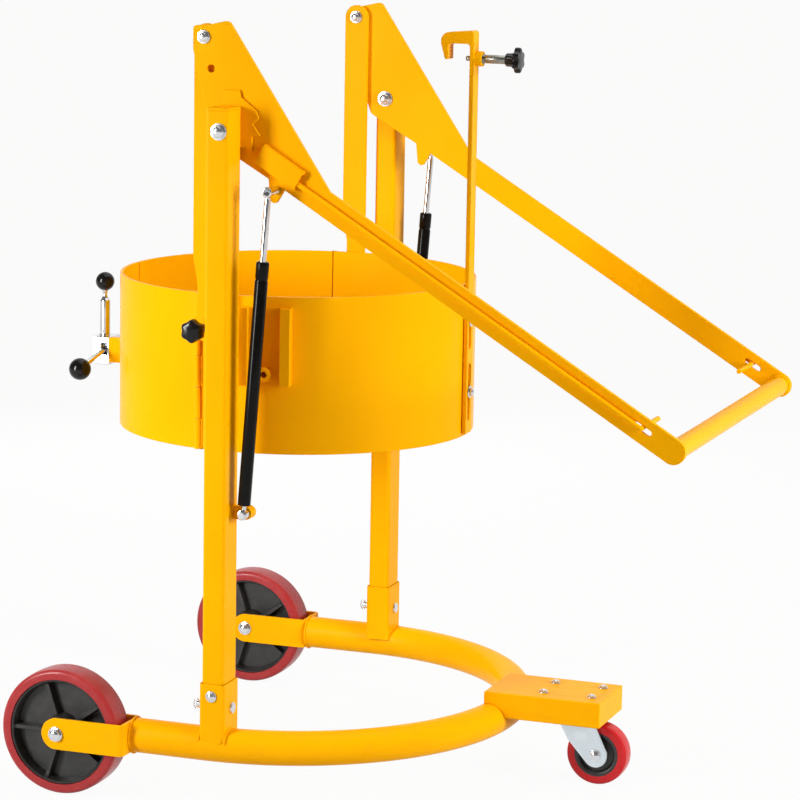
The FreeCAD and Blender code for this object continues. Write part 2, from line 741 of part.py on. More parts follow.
# Posts, their sockets, caps, bolts and clevis pins
sockets, caps, side_bolts, pins, clips = [], [], [], [], []
post_low = base_z + tube_r
post_top = s.fulcrum_z + s.post_over
socket_top = base_z + s.socket_rise
socket_low = base_z + s.socket_foot
socket_bolt_z = base_z + s.socket_bolt_rise
clevis_z = base_z + s.clevis_rise
for name, side in SIDES:
    middle = post_y * side

    def column(half_l, half_w, low, high):
        return block(s.post_x - half_l, s.post_x + half_l, middle - half_w, middle + half_w, low, high)

    fulcrum_hole = rod(s.fulcrum_r + s.bolt_gap, "y", middle - s.post_w, middle + s.post_w,
                       fulcrum_x, s.fulcrum_z)
    outer = middle + side * (s.post_w / 2 + s.face_gap + s.socket_wall)
    deep = middle + side * s.socket_bolt_in
    low, high = (outer, deep) if side < 0 else (deep, outer)
    bolt_hole = rod(s.socket_bolt_r + s.bolt_gap, "y", low - s.overrun, high + s.overrun,
                    s.post_x, socket_bolt_z)
    half_l = s.post_l / 2
    half_w = s.post_w / 2
    sock_l = half_l + s.face_gap + s.socket_wall
    sock_w = half_w + s.face_gap + s.socket_wall
    pin_hole = rod(s.clevis_r + s.bolt_gap, "x", s.post_x - sock_l - s.overrun,
                   s.post_x + sock_l + s.overrun, middle, clevis_z)
    bore = column(half_l - s.post_wall, half_w - s.post_wall, post_low - s.overrun, post_top + s.overrun)
    box_section = round_edges(column(half_l, half_w, post_low, post_top), upright, s.post_round)
    node("post_" + name, cut(box_section, bore, fulcrum_hole, bolt_hole, pin_hole))
    cap = column(half_l, half_w, post_top, post_top + s.cap_h)
    caps.append(round_edges(cap, upright, s.post_round))
    sleeve = round_edges(column(sock_l, sock_w, socket_low, socket_top), upright, s.post_round)
    well = column(half_l + s.face_gap, half_w + s.face_gap, socket_low - s.overrun,
                  socket_top + s.overrun)
    sockets.append(cut(sleeve, well, base_outer, bolt_hole, pin_hole))
    head_low, head_high = (outer - s.socket_head, outer) if side < 0 else (outer, outer + s.socket_head)
    side_bolts.append(join(hexagon(s.socket_head_r, "y", head_low, head_high, s.post_x, socket_bolt_z),
                           rod(s.socket_bolt_r, "y", low, high, s.post_x, socket_bolt_z)))
    front = s.post_x + sock_l
    pins.append(join(rod(s.clevis_r, "x", s.post_x - sock_l - s.clevis_tail, front, middle, clevis_z),
                     rod(s.clevis_head_r, "x", front, front + s.clevis_head, middle, clevis_z)))
    clips.append(hoop(s.clevis_r + s.clip_wire_r + s.bolt_gap, s.clip_wire_r,
                      s.post_x - sock_l - s.clevis_tail / 2, middle, clevis_z))
node("post_sockets", *sockets)
node("post_caps", *caps)
node("socket_bolts", *side_bolts)
node("clevis_pins", *pins)
node("r_clips", *clips)

# Fulcrum bolts and ratchet sectors
fulcrum_bolts, sectors = [], []
tooth_root_r = s.tooth_tip_r - s.tooth_deep
outline = [(fulcrum_x - s.sector_back, s.fulcrum_z - tooth_root_r),
           (fulcrum_x - s.sector_back, s.fulcrum_z + s.lobe_rise),
           (fulcrum_x + s.lobe_out, s.fulcrum_z + s.lobe_rise)]
outline += [(fulcrum_x + radius * cosine(turn), s.fulcrum_z + radius * sine(turn))
            for turn, radius in zip(RIM_TURNS, (s.rim_r, s.rim_r - s.rim_step))]
for turn in TOOTH_TURNS:
    outline.append((fulcrum_x + s.tooth_tip_r * cosine(turn), s.fulcrum_z + s.tooth_tip_r * sine(turn)))
    under = turn - TOOTH_DROP
    outline.append((fulcrum_x + tooth_root_r * cosine(under),
                    s.fulcrum_z + tooth_root_r * sine(under)))
for name, side in SIDES:
    middle = (post_in - s.sector_thick / 2) * side
    hole = rod(s.fulcrum_r + s.bolt_gap, "y", middle - s.sector_thick, middle + s.sector_thick,
               fulcrum_x, s.fulcrum_z)
    sectors.append(cut(plate(outline, s.sector_thick, middle), hole))
    reach = sorted((side * (lever_in - s.face_gap), side * (post_y + s.post_w / 2)),
                   key=lambda size: size.value)
    shank = rod(s.fulcrum_r, "y", reach[0], reach[1], fulcrum_x, s.fulcrum_z)
    heads = [hexagon(s.fulcrum_head_r, "y", reach[0] - s.fulcrum_head, reach[0], fulcrum_x, s.fulcrum_z),
             hexagon(s.fulcrum_head_r, "y", reach[1], reach[1] + s.fulcrum_head, fulcrum_x, s.fulcrum_z)]
    fulcrum_bolts.append(join(shank, *heads))
node("ratchet_sectors", *sectors)
node("fulcrum_bolts", *fulcrum_bolts)


# Lever plates with their arms, grip tube and load pivot bolts
def arm_block(near, far, low, high, y_in, y_out, side):
    """A box along the arm: near to far along it, low to high square to it, y from the middle plane."""
    y0, y1 = (y_in, y_out) if side > 0 else (-y_out, -y_in)
    points = [lever_spot(near, low), lever_spot(far, low), lever_spot(far, high), lever_spot(near, high)]
    return plate(points, y1 - y0, (y0 + y1) / 2)


arm_half = s.arm_w / 2
ear_low = -s.ear_below - s.ear_tip
arm_low = -s.arm_drop - arm_half
lever_points = [
    (pivot_x - s.head_rim, pivot_z + s.head_over, s.corner_round),
    (pivot_x + s.head_dip_x, pivot_z + s.head_dip_over, s.lever_round),
    (fulcrum_x - s.head_peak_x, pivot_z + s.head_peak_over, s.lever_round),
    lever_spot(s.head_meet, arm_half - s.arm_drop),
    lever_spot(s.grip_reach, arm_half - s.arm_drop),
    lever_spot(s.grip_reach, arm_low),
    lever_spot(s.ear_along + s.ear_r, arm_low),
    (*lever_spot(s.ear_along + s.ear_r, ear_low), s.corner_round),
    (*lever_spot(s.ear_along, ear_low), s.corner_round),
    lever_spot(s.ear_along - s.ear_back, arm_low),
    (fulcrum_x - s.head_foot, s.fulcrum_z - s.head_foot, s.lever_round),
    (fulcrum_x - s.head_waist_x, s.fulcrum_z + s.head_waist),
    (pivot_x - s.head_rim, pivot_z - s.head_under, s.lever_round),
]
finger_at = s.grip_reach - s.finger_back
slide_r = s.rod_r + s.slot_gap
slot_near = finger_at - s.pawl_travel
slot_far = finger_at + s.finger_slot
pivot_bolts, studs = [], []
for name, side in SIDES:
    middle = lever_y * side
    low = middle - s.lever_thick / 2
    high = middle + s.lever_thick / 2

    def drill(radius, x, z):
        return rod(radius, "y", low - s.overrun, high + s.overrun, x, z)

    blank = join(plate(lever_points, s.lever_thick, middle),
                 rod(arm_half, "y", low, high, grip_x, grip_z))
    node("lever_plate_" + name, cut(
        blank, drill(s.fulcrum_r + s.run_gap, fulcrum_x, s.fulcrum_z),
        drill(s.pivot_r + s.bolt_gap, pivot_x, pivot_z),
        drill(s.spare_r, pivot_x + s.spare_ahead, pivot_z - s.spare_below),
        drill(slide_r, *lever_spot(slot_near, -s.rod_drop)),
        drill(slide_r, *lever_spot(slot_far, -s.rod_drop)),
        arm_block(slot_near, slot_far, -s.rod_drop - slide_r, -s.rod_drop + slide_r,
                  lever_in - s.overrun, lever_out + s.overrun, side)))
    reach = sorted((side * (hanger_in - s.face_gap), side * lever_out), key=lambda size: size.value)
    pivot_bolts.append(join(
        rod(s.pivot_r, "y", reach[0], reach[1], pivot_x, pivot_z),
        hexagon(s.pivot_head_r, "y", reach[0] - s.pivot_head, reach[0], pivot_x, pivot_z),
        hexagon(s.pivot_head_r, "y", reach[1], reach[1] + s.pivot_head, pivot_x, pivot_z)))
    reach = sorted((side * lever_out, side * (post_y - s.spring_eye_w / 2 - s.face_gap)),
                   key=lambda size: size.value)
    studs.append(rod(s.stud_r, "y", reach[0], reach[1], ear_x, ear_z))
node("pivot_bolts", *pivot_bolts)
node("spring_studs", *studs)
grip = rod(s.grip_r, "y", -lever_in, lever_in, grip_x, grip_z)
grip_bore = rod(s.grip_r - s.grip_wall, "y", -lever_in - s.overrun, lever_in + s.overrun, grip_x, grip_z)
node("grip_tube", cut(grip, grip_bore))

# Pawls with release rods and finger pegs, sliding on the arms
pawl_in = lever_out + (post_in - lever_out - s.pawl_thick) / 2
pawl_out = pawl_in + s.pawl_thick
pawl_half = s.pawl_w / 2
pawl_nose = s.tooth_tip_r + s.pawl_clear
tail_low = -s.rod_drop - s.rod_r
rod_y = lever_out + s.face_gap + s.rod_r
housings = []
for name, side in SIDES:
    nose = arm_block(pawl_nose, s.pawl_end, -pawl_half, pawl_half, pawl_in, pawl_out, side)
    tail = arm_block(s.pawl_tail, s.pawl_end, tail_low, pawl_half, pawl_in, pawl_out, side)
    node("pawl_" + name, join(nose, tail))
    link = doc.addObject("Part::Cylinder", "Link")
    bind(link, Radius=s.rod_r, Height=finger_at - s.pawl_end)
    start_x, start_z = lever_spot(s.pawl_end, -s.rod_drop)
    put(link, start_x, rod_y * side, start_z, turn=FreeCAD.Rotation(Y, 90 + s.arm_slope_angle.value))
    bind(link, **{"Placement.Rotation.Angle": s.arm_slope_angle + 90})
    end_x, end_z = lever_spot(finger_at, -s.rod_drop)
    reach = sorted((side * (lever_in - s.finger_reach), side * rod_y), key=lambda size: size.value)
    peg = rod(s.rod_r, "y", reach[0], reach[1], end_x, end_z)
    node("release_rod_" + name, join(link, peg, ball(s.rod_r, end_x, rod_y * side, end_z)))
    cover_in = rod_y + s.rod_r + s.face_gap
    cover_out = cover_in + s.housing_cover
    upper = pawl_half + s.face_gap
    lower = tail_low - s.face_gap
    walls = [arm_block(s.housing_near, s.housing_far, upper, upper + s.housing_wall, lever_out, cover_out,
                       side),
             arm_block(s.housing_near, s.housing_far, lower - s.housing_wall, lower, lever_out, cover_out,
                       side),
             arm_block(s.housing_near, s.housing_far, lower - s.housing_wall, upper + s.housing_wall,
                       cover_in, cover_out, side)]
    housings.append(join(*walls))
node("pawl_housings", *housings)

# Hanger bars
for name, side in SIDES:
    middle = (hanger_in + s.hanger_thick / 2) * side
    left = pivot_x - s.hanger_w / 2
    right = pivot_x + s.hanger_w / 2
    points = [(left, pivot_z), (right, pivot_z), (right, trunnion_z),
              (left + s.taper_in, trunnion_z), (left + s.taper_in, trunnion_z + s.taper_to_up),
              (left, trunnion_z + s.taper_from_up)]
    low = middle - s.hanger_thick / 2
    high = middle + s.hanger_thick / 2
    bar = join(plate(points, s.hanger_thick, middle),
               rod(s.hanger_w / 2, "y", low, high, pivot_x, pivot_z),
               rod(s.hanger_eye_r, "y", low, high, pivot_x, trunnion_z))
    holes = [rod(s.pivot_r + s.run_gap, "y", low - s.overrun, high + s.overrun, pivot_x, pivot_z),
             rod(s.trunnion_r + s.run_gap, "y", low - s.overrun, high + s.overrun, pivot_x, trunnion_z)]
    node("hanger_bar_" + name, cut(bar, *holes))


# Saddle band with trunnion bosses and hinge knuckles
def arc_wall(inner, wall, start, span, low, high):
    """A curved wall about the saddle's axis, from one angle over a span of degrees."""
    solid = rod(inner + wall, "z", low, high, 0, 0, angle=span)
    hollow = rod(inner, "z", low - s.overrun, high + s.overrun, 0, 0)
    return swing(cut(solid, hollow), start)


def knuckles(side, parts):
    """Hinge barrels with leaves on one side of the hinge, for the listed shares of the band's height."""
    x = hinge_r * cosine(s.hinge_angle)
    y = side * hinge_r * sine(s.hinge_angle)
    leaf_from = s.hinge_angle - s.leaf_angle if 0 in parts else s.hinge_angle
    leaf_turn = leaf_from if side > 0 else -leaf_from - s.leaf_angle
    made = []
    for k in parts:
        low = band_low + s.band_tall * k / KNUCKLES + s.knuckle_gap / 2
        high = band_low + s.band_tall * (k + 1) / KNUCKLES - s.knuckle_gap / 2
        leaf = arc_wall(band_out - s.band_wall / 2, s.band_wall / 2 + s.leaf_wall, leaf_turn, s.leaf_angle,
                        low, high)
        made.append(join(leaf, rod(s.knuckle_r, "z", low, high, x, y)))
    return made, rod(s.hinge_pin_r + s.run_gap, "z", band_low - s.overrun, band_top + s.overrun, x, y)


mid_wall = rod(s.band_in + s.band_wall / 2, "z", band_low - s.overrun, band_top + s.overrun, 0, 0)
bosses, barrel_sets, pin_bores, trunnions, hinge_pins = [], [], [], [], []
boss_out = hanger_in - s.face_gap
for name, side in SIDES:
    reach = sorted((lift(0), boss_out * side), key=lambda size: size.value)
    bosses.append(cut(rod(s.boss_r, "y", reach[0], reach[1], pivot_x, trunnion_z), mid_wall))
    made, bore = knuckles(side, (0, 2, 4))
    barrel_sets += made
    pin_bores.append(bore)
    x = hinge_r * cosine(s.hinge_angle)
    y = side * hinge_r * sine(s.hinge_angle)
    hinge_pins.append(rod(s.hinge_pin_r, "z", band_low, band_top, x, y))
    head_in = hanger_out + s.face_gap
    reach = sorted((side * (band_out + s.band_wall), side * head_in), key=lambda size: size.value)
    cap = sorted((side * head_in, side * (head_in + s.trunnion_head)), key=lambda size: size.value)
    stub = join(rod(s.trunnion_r, "y", reach[0], reach[1], pivot_x, trunnion_z),
                rod(s.trunnion_head_r, "y", cap[0], cap[1], pivot_x, trunnion_z))
    if side < 0:
        stub = cut(stub, rod(s.clamp_r + s.run_gap, "y", cap[0] - s.overrun, cap[0] + s.clamp_in + s.overrun,
                             pivot_x, trunnion_z))
    trunnions.append(stub)
trunnion_holes = rod(s.trunnion_r + s.bolt_gap, "y", -boss_out - s.overrun, -band_out - s.band_wall,
                     pivot_x, trunnion_z)
trunnion_holes_right = rod(s.trunnion_r + s.bolt_gap, "y", band_out + s.band_wall, boss_out + s.overrun,
                           pivot_x, trunnion_z)
bolt_heights = (band_low + s.slide_low, band_low + s.slide_high)
slide_holes = [rod(s.slide_bolt_r + s.bolt_gap, "x", s.band_in - s.overrun, band_out + s.overrun, 0, z)
               for z in bolt_heights]
band = arc_wall(s.band_in, s.band_wall, -s.band_half_angle, s.band_half_angle * 2, band_low, band_top)
node("saddle_band", cut(join(band, *bosses, *barrel_sets), trunnion_holes, trunnion_holes_right,
                        *pin_bores, *slide_holes))
node("trunnion_pins", *trunnions)
node("hinge_pins", *hinge_pins)

# Bracket with a bush, welded to the left side of the band
bracket_low = band_low + s.bracket_rise
bush_z = bracket_low + s.bush_rise
out_wall = rod(band_out, "z", bracket_low - s.overrun, bracket_low + s.bracket_tall + s.overrun, 0, 0)
web_out = band_out + s.bracket_web
bracket_top = bracket_low + s.bracket_tall
channel = block(band_out - s.bracket_web, web_out, -s.bracket_w / 2, s.bracket_w / 2,
                bracket_low, bracket_top)
flanges = []
for hand in (-1, 1):
    edge = hand * s.bracket_w / 2
    y0, y1 = (edge, edge + s.bracket_rib) if hand < 0 else (edge - s.bracket_rib, edge)
    flanges.append(block(band_out - s.bracket_web, hanger_in - s.bracket_gap, y0, y1,
                         bracket_low, bracket_top))
bush = rod(s.bush_r, "x", web_out - s.bracket_web, web_out + s.bush_l, 0, bush_z)
bush_hole = rod(s.bush_bore, "x", band_out - s.bracket_web, web_out + s.bush_l + s.overrun, 0, bush_z)
node("lock_bracket", swing(cut(join(channel, bush, *flanges), out_wall, bush_hole), -s.bracket_angle))

# Gates, latch block and keeper
latch_low = band_low + s.latch_rise
latch_top = latch_low + s.latch_tall
keeper_low = latch_low + s.keeper_rise
keeper_top = keeper_low + s.keeper_wall
keeper_back = latch_back + s.keeper_past
pin_top = latch_top + s.pin_stand
ball_z = pin_top + s.ball_over
handle_z = latch_low + s.handle_rise
made, bore = knuckles(-1, (1, 3))
gate_span = s.gate_to_angle - s.gate_from_angle
wall = arc_wall(s.band_in, s.band_wall, -s.gate_to_angle, gate_span, band_low, band_top)
foot = cut(block(-latch_foot, -s.band_in, -s.latch_left, -s.split_half,
                 latch_low + s.foot_rise, latch_top), mid_wall)
node("gate_left", cut(join(wall, foot, *made), bore))
made, bore = knuckles(1, (1, 3))
wall = arc_wall(s.band_in, s.band_wall, s.gate_from_angle, gate_span, band_low, band_top)
tongue = cut(block(-keeper_back, -s.band_in, s.split_half, s.latch_right, keeper_low, keeper_top), mid_wall)
keeper_hole = rod(s.pin_r + s.pin_hole_gap, "z", keeper_low - s.overrun, keeper_top + s.overrun,
                  pin_x, s.pin_y)
node("gate_right", cut(join(wall, tongue, *made), bore, keeper_hole))
zinc = block(-latch_back, -latch_foot, -s.latch_left, s.latch_right, latch_low, latch_top)
pin_bore = rod(s.pin_r + s.run_gap, "z", latch_low - s.overrun, latch_top + s.overrun, pin_x, s.pin_y)
mouth = block(-latch_back - s.overrun, s.overrun - latch_foot, lift(0), s.latch_right + s.overrun,
              keeper_low - s.keeper_gap, keeper_top + s.keeper_gap)
half_eye = s.handle_boss / 2
pocket = block(handle_x - half_eye - s.face_gap, handle_x + half_eye + s.face_gap, -s.latch_left - s.overrun,
               s.handle_y + s.handle_boss_r + s.keeper_gap, handle_z - s.pocket_below, handle_z + s.pocket_above)
pivot_bore = rod(s.handle_pivot_r + s.run_gap, "x", handle_x - s.handle_pivot - s.face_gap,
                 s.overrun - latch_foot, s.handle_y, handle_z)
node("latch_block", cut(zinc, mouth, pocket, pin_bore, pivot_bore))
latch_shank = rod(s.pin_r, "z", keeper_top + s.keeper_gap * 2, pin_top, pin_x, s.pin_y)
node("latch_pin", latch_shank)
node("latch_ball", cut(ball(s.ball_r, pin_x, s.pin_y, ball_z), latch_shank))
handle_eye = rod(s.handle_boss_r, "x", handle_x - half_eye, handle_x + half_eye, s.handle_y, handle_z)
handle_pivot = rod(s.handle_pivot_r, "x", handle_x - s.handle_pivot, handle_x + s.handle_pivot,
                   s.handle_y, handle_z)
stem = doc.addObject("Part::Cylinder", "Stem")
bind(stem, Radius=s.handle_rod_r, Height=s.handle_reach)
put(stem, handle_x, s.handle_y, handle_z, turn=FreeCAD.Rotation(X, 90 + s.handle_droop_angle.value))
bind(stem, **{"Placement.Rotation.Angle": s.handle_droop_angle + 90})
handle = join(handle_eye, handle_pivot, stem)
node("latch_handle", handle)
node("handle_ball", cut(ball(s.handle_ball_r, handle_x,
                             s.handle_y - s.handle_reach * cosine(s.handle_droop_angle),
                             handle_z - s.handle_reach * sine(s.handle_droop_angle)), handle))

# Top hook on its slotted bar
hook_x = band_out + s.hook_gap
hook_out = hook_x + s.hook_thick
hook_low = band_low + s.hook_rise
hook_top = hook_low + s.hook_tall
hook_tip_x = hook_x - s.hook_reach
hook_tip_z = hook_top - s.hook_tip_drop
screw_z = hook_top - s.screw_drop
screw_tip = hook_x - s.screw_past
screw_hub_x = hook_out + s.screw_shank
hook_mouth_x = hook_tip_x + s.hook_tip_w
hook_under = hook_top - s.hook_arm
hook_points = [(hook_x, hook_low), (hook_out, hook_low), (hook_out, hook_top, s.hook_fillet),
               (hook_tip_x, hook_top - s.hook_fall, s.hook_round), (hook_tip_x, hook_under),
               (hook_mouth_x - s.hook_point_w, hook_tip_z, s.hook_point_round), (hook_mouth_x, hook_tip_z),
               (hook_mouth_x, hook_under, s.hook_fillet), (hook_x, hook_under, s.hook_fillet)]
strip = plate(hook_points, s.hook_w, 0)
screw_boss = rod(s.screw_boss_r, "x", hook_out, hook_out + s.screw_boss, 0, screw_z)
slot_r = s.slide_bolt_r + s.slot_gap
slots = []
for z in bolt_heights:
    straight = s.slot_half - s.slide_bolt_r
    slots.append(block(hook_x - s.overrun, hook_out + s.overrun, -slot_r, slot_r,
                       z - straight, z + straight))
    slots += [rod(slot_r, "x", hook_x - s.overrun, hook_out + s.overrun, 0, z + hand * straight)
              for hand in (-1, 1)]
screw_hole = rod(s.screw_r + s.run_gap, "x", hook_x - s.overrun, hook_out + s.screw_boss + s.overrun,
                 0, screw_z)
node("hook_bar", cut(join(strip, screw_boss), screw_hole, *slots))
guides = []
for z in bolt_heights:
    washer_in = hook_out + s.face_gap
    head_in = washer_in + s.washer_h
    spacer = cut(rod(s.spacer_r, "x", s.band_in, hook_x - s.face_gap, 0, z),
                 rod(band_out, "z", band_low, band_top, 0, 0))
    guides.append(join(rod(s.slide_bolt_r, "x", s.band_in, head_in, 0, z), spacer,
                       rod(s.washer_r, "x", washer_in, head_in, 0, z),
                       hexagon(s.slide_head_r, "x", head_in, head_in + s.slide_head, 0, z)))
node("hook_guide_bolts", *guides)
hub_out = screw_hub_x + s.screw_hub
shank = rod(s.screw_r, "x", hook_x, hub_out, 0, screw_z)
point = rod(s.screw_point_r, "x", screw_tip, hook_x, 0, screw_z)
node("hook_screw", join(shank, point, rod(s.screw_hub_r, "x", screw_hub_x, hub_out, 0, screw_z)))
node("hook_knob", star("x", hub_out, hub_out + s.star_h, lift(0), screw_z, s.star_r, s.star_lobe_r))

# Tilt clamp screw with its star knob, on the left trunnion
clamp_shank = rod(s.clamp_r, "y", -clamp_out, s.clamp_in - clamp_in, pivot_x, trunnion_z)
collar = rod(s.clamp_collar_r, "y", -clamp_out, s.clamp_collar - clamp_out, pivot_x, trunnion_z)
node("tilt_screw", join(clamp_shank, collar))
node("tilt_knob", star("y", -clamp_out - s.clamp_star_h, -clamp_out, pivot_x, trunnion_z,
                       s.clamp_star_r, s.clamp_lobe_r))

# Gas springs between the posts and the lever
lugs, lower_pins = [], []
spring_x = post_front + s.spring_off
lean_x = ear_x - spring_x
lean_z = ear_z - s.spring_z
spring_length = root(lean_x * lean_x + lean_z * lean_z)
lean = Size(math.degrees(math.atan2(lean_x.value, lean_z.value)), f"atan({lean_x.text} / {lean_z.text})")
cylinder_to = spring_length - s.rod_shown
for name, side in SIDES:
    middle = post_y * side
    half_eye = s.spring_eye_w / 2

    def leaning(*items):
        """Tip pieces drawn on the spring's own upright line over to the stud."""
        wrap = group(*items)
        put(wrap, spring_x, middle, s.spring_z, turn=FreeCAD.Rotation(Y, lean.value))
        bind(wrap, **{"Placement.Rotation.Angle": lean})
        return wrap

    beside = side * (half_eye + s.face_gap)
    reach = sorted((middle - beside, middle - beside - side * s.lug_wall), key=lambda size: size.value)
    lug = join(block(post_front, spring_x, reach[0], reach[1], s.spring_z - s.lug_r, s.spring_z + s.lug_r),
               rod(s.lug_r, "y", reach[0], reach[1], spring_x, s.spring_z))
    lugs.append(cut(lug, rod(s.spring_pin_r + s.bolt_gap, "y", reach[0] - s.overrun, reach[1] + s.overrun,
                             spring_x, s.spring_z)))
    reach = sorted((middle + beside, middle - beside - side * s.lug_wall), key=lambda size: size.value)
    lower_pins.append(join(
        rod(s.spring_pin_r, "y", reach[0], reach[1], spring_x, s.spring_z),
        rod(s.spring_pin_head_r, "y", reach[1], reach[1] + s.spring_pin_head, spring_x, s.spring_z),
        rod(s.spring_pin_head_r, "y", reach[0] - s.spring_pin_head, reach[0], spring_x, s.spring_z)))
    eye = rod(s.spring_eye_r, "y", -half_eye, half_eye, 0, 0)
    neck = rod(s.spring_eye_r / 2, "z", 0, s.cylinder_from, 0, 0)
    barrel = rod(s.cylinder_r, "z", s.cylinder_from, cylinder_to, 0, 0)
    hollow = rod(s.cylinder_bore, "z", s.piston_at - s.gland_h, cylinder_to - s.gland_h, 0, 0)
    gland = rod(s.spring_rod_r + s.run_gap, "z", cylinder_to - s.gland_h - s.overrun,
                cylinder_to + s.overrun, 0, 0)
    pin_hole = rod(s.spring_pin_r + s.run_gap, "y", -half_eye - s.overrun, half_eye + s.overrun, 0, 0)
    node("gas_cylinder_" + name, leaning(cut(join(eye, neck, barrel), hollow, gland, pin_hole)))
    top_eye = rod(s.spring_eye_r, "y", -half_eye, half_eye, 0, spring_length)
    socket = sorted((side * (half_eye - s.eye_bore_deep), side * (half_eye + s.overrun)),
                    key=lambda size: size.value)
    top_bore = rod(s.eye_bore, "y", socket[0], socket[1], 0, spring_length)
    piston = rod(s.piston_r, "z", s.piston_at, s.piston_at + s.piston_h, 0, 0)
    bright = rod(s.spring_rod_r, "z", s.piston_at, spring_length, 0, 0)
    node("gas_rod_" + name, leaning(cut(join(top_eye, piston, bright), top_bore)))
node("spring_lugs", *lugs)
node("spring_pins", *lower_pins)

# Check every object, then write one STEP file per sub-part
doc.recompute()
for item in doc.Objects:
    bad = {"Invalid", "Error"} & set(item.State)
    if bad:
        raise RuntimeError(f"{item.Label}: {bad}")
os.makedirs("parts", exist_ok=True)
for item in nodes:
    shape = item.Shape
    if shape.isNull() or not shape.isValid() or not shape.Solids:
        raise RuntimeError(f"{item.Label}: bad shape")
    piece = shape.Solids[0] if len(shape.Solids) == 1 else shape
    piece.exportStep(f"parts/{item.Label}.step")
print(len(nodes), "sub-parts; shared frame starts", round(frame_x.value, 3), "mm ahead of the saddle's axis")
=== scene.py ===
# Drum tipper, dressed for its picture. Metres, +Z up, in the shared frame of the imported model.
import json
import math

import bmesh
import bpy
import numpy as np
from mathutils import Matrix, Vector

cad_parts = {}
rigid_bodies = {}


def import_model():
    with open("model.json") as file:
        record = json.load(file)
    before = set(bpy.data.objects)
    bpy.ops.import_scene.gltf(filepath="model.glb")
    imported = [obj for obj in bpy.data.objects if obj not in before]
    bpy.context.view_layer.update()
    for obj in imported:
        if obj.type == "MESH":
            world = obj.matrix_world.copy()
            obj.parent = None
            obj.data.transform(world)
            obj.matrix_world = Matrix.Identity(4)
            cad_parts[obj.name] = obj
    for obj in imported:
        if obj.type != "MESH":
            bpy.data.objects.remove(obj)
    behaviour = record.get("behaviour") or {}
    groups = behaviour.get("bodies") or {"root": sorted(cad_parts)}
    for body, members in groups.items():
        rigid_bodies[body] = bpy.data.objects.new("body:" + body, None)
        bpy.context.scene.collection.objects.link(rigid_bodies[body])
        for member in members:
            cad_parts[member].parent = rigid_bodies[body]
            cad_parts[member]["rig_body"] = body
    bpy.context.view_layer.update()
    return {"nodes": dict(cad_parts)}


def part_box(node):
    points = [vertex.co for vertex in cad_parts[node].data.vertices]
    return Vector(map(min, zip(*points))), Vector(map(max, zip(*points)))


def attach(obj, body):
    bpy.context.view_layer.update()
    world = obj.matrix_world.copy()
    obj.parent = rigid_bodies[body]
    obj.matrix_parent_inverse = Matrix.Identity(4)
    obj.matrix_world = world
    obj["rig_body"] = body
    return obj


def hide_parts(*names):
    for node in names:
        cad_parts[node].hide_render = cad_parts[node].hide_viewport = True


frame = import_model()

# Horseshoe base: one length of round steel tube, bent cold to a half circle and sprayed with yellow
# enamel together with everything welded to it. Its two ends butt against the wheel forks.
TUBE_SIDES = 56
BEND_STEPS = 120
SEAM_GAP = 2e-6
CREASE = 38
FACET_TILT = math.radians(0.2)
YELLOW = (0.97, 0.470, 0.0014, 1)
YELLOW_THIN = (0.96, 0.445, 0.0012, 1)
YELLOW_DULL = (0.84, 0.37, 0.008, 1)
PAINT_INDEX = 1.09
PAINT_ROUGH = 0.24
THIN_ROUGH = 0.05
SCUFF_ROUGH = 0.08
DUST_ROUGH = 0.18
DUST_TOP = 0.22
DUST_COVER = 0.35
COARSE_PEEL = 0.6


class Wire:
    """A shader value. Sums, differences and products of wires add Math nodes to the same material."""

    def __init__(self, tree, socket=None):
        self.tree = tree
        self.socket = socket

    def node(self, kind, settings=None, inputs=None, out=0):
        """Add a node: its settings are set first, then its sockets, and one output comes back as a wire."""
        made = self.tree.nodes.new("ShaderNode" + kind)
        for name, value in (settings or {}).items():
            setattr(made, name, value)
        for name, value in (inputs or {}).items():
            if isinstance(value, Wire):
                self.tree.links.new(value.socket, made.inputs[name])
            else:
                made.inputs[name].default_value = value
        return Wire(self.tree, made.outputs[out] if made.outputs else None)

    def math(self, operation, first, second):
        """A Math node on two values, each a wire or a number."""
        return self.node("Math", {"operation": operation}, {0: first, 1: second})

    def __add__(self, other):
        return self.math("ADD", self, other)

    def __mul__(self, other):
        return self.math("MULTIPLY", self, other)

    def __sub__(self, other):
        return self.math("SUBTRACT", self, other)

    def __rsub__(self, other):
        return self.math("SUBTRACT", other, self)

    __radd__ = __add__
    __rmul__ = __mul__

    def step(self, low, high):
        """0 below low, 1 above high, and a smooth rise between them."""
        return self.node("MapRange", {"interpolation_type": "SMOOTHSTEP"},
                         {"Value": self, "From Min": low, "From Max": high})

    def blend(self, start, end):
        """A colour that goes from start to end as this value goes from 0 to 1."""
        return self.node("Mix", {"data_type": "RGBA"}, {0: self, 6: start, 7: end}, 2)


def new_finish(name):
    """An empty material, and the Object coordinates that its patterns are laid out on."""
    material = bpy.data.materials.new(name)
    material.use_nodes = True
    material.node_tree.nodes.clear()
    start = Wire(material.node_tree)
    return material, start.node("TexCoord", out="Object")


def noise(spot, grains, detail, stretch=None):
    """Cloudy noise of that many grains in a metre; stretch draws the grains out along an axis."""
    if stretch:
        spot = spot.node("Mapping", inputs={"Vector": spot, "Scale": stretch})
    return spot.node("TexNoise", inputs={"Vector": spot, "Scale": grains, "Detail": detail})


def close_finish(material, spot, colour, roughness, height, relief, strength, **fixed):
    """The surface itself: colour and roughness vary, height is a relief in metres, the rest is constant."""
    sockets = {"Base Color": colour, "Roughness": roughness}
    sockets["Normal"] = spot.node("Bump", inputs={"Height": height, "Strength": strength, "Distance": relief})
    sockets.update({name.replace("_", " "): value for name, value in fixed.items()})
    surface = spot.node("BsdfPrincipled", inputs=sockets)
    spot.node("OutputMaterial", inputs={"Surface": surface})
    return material


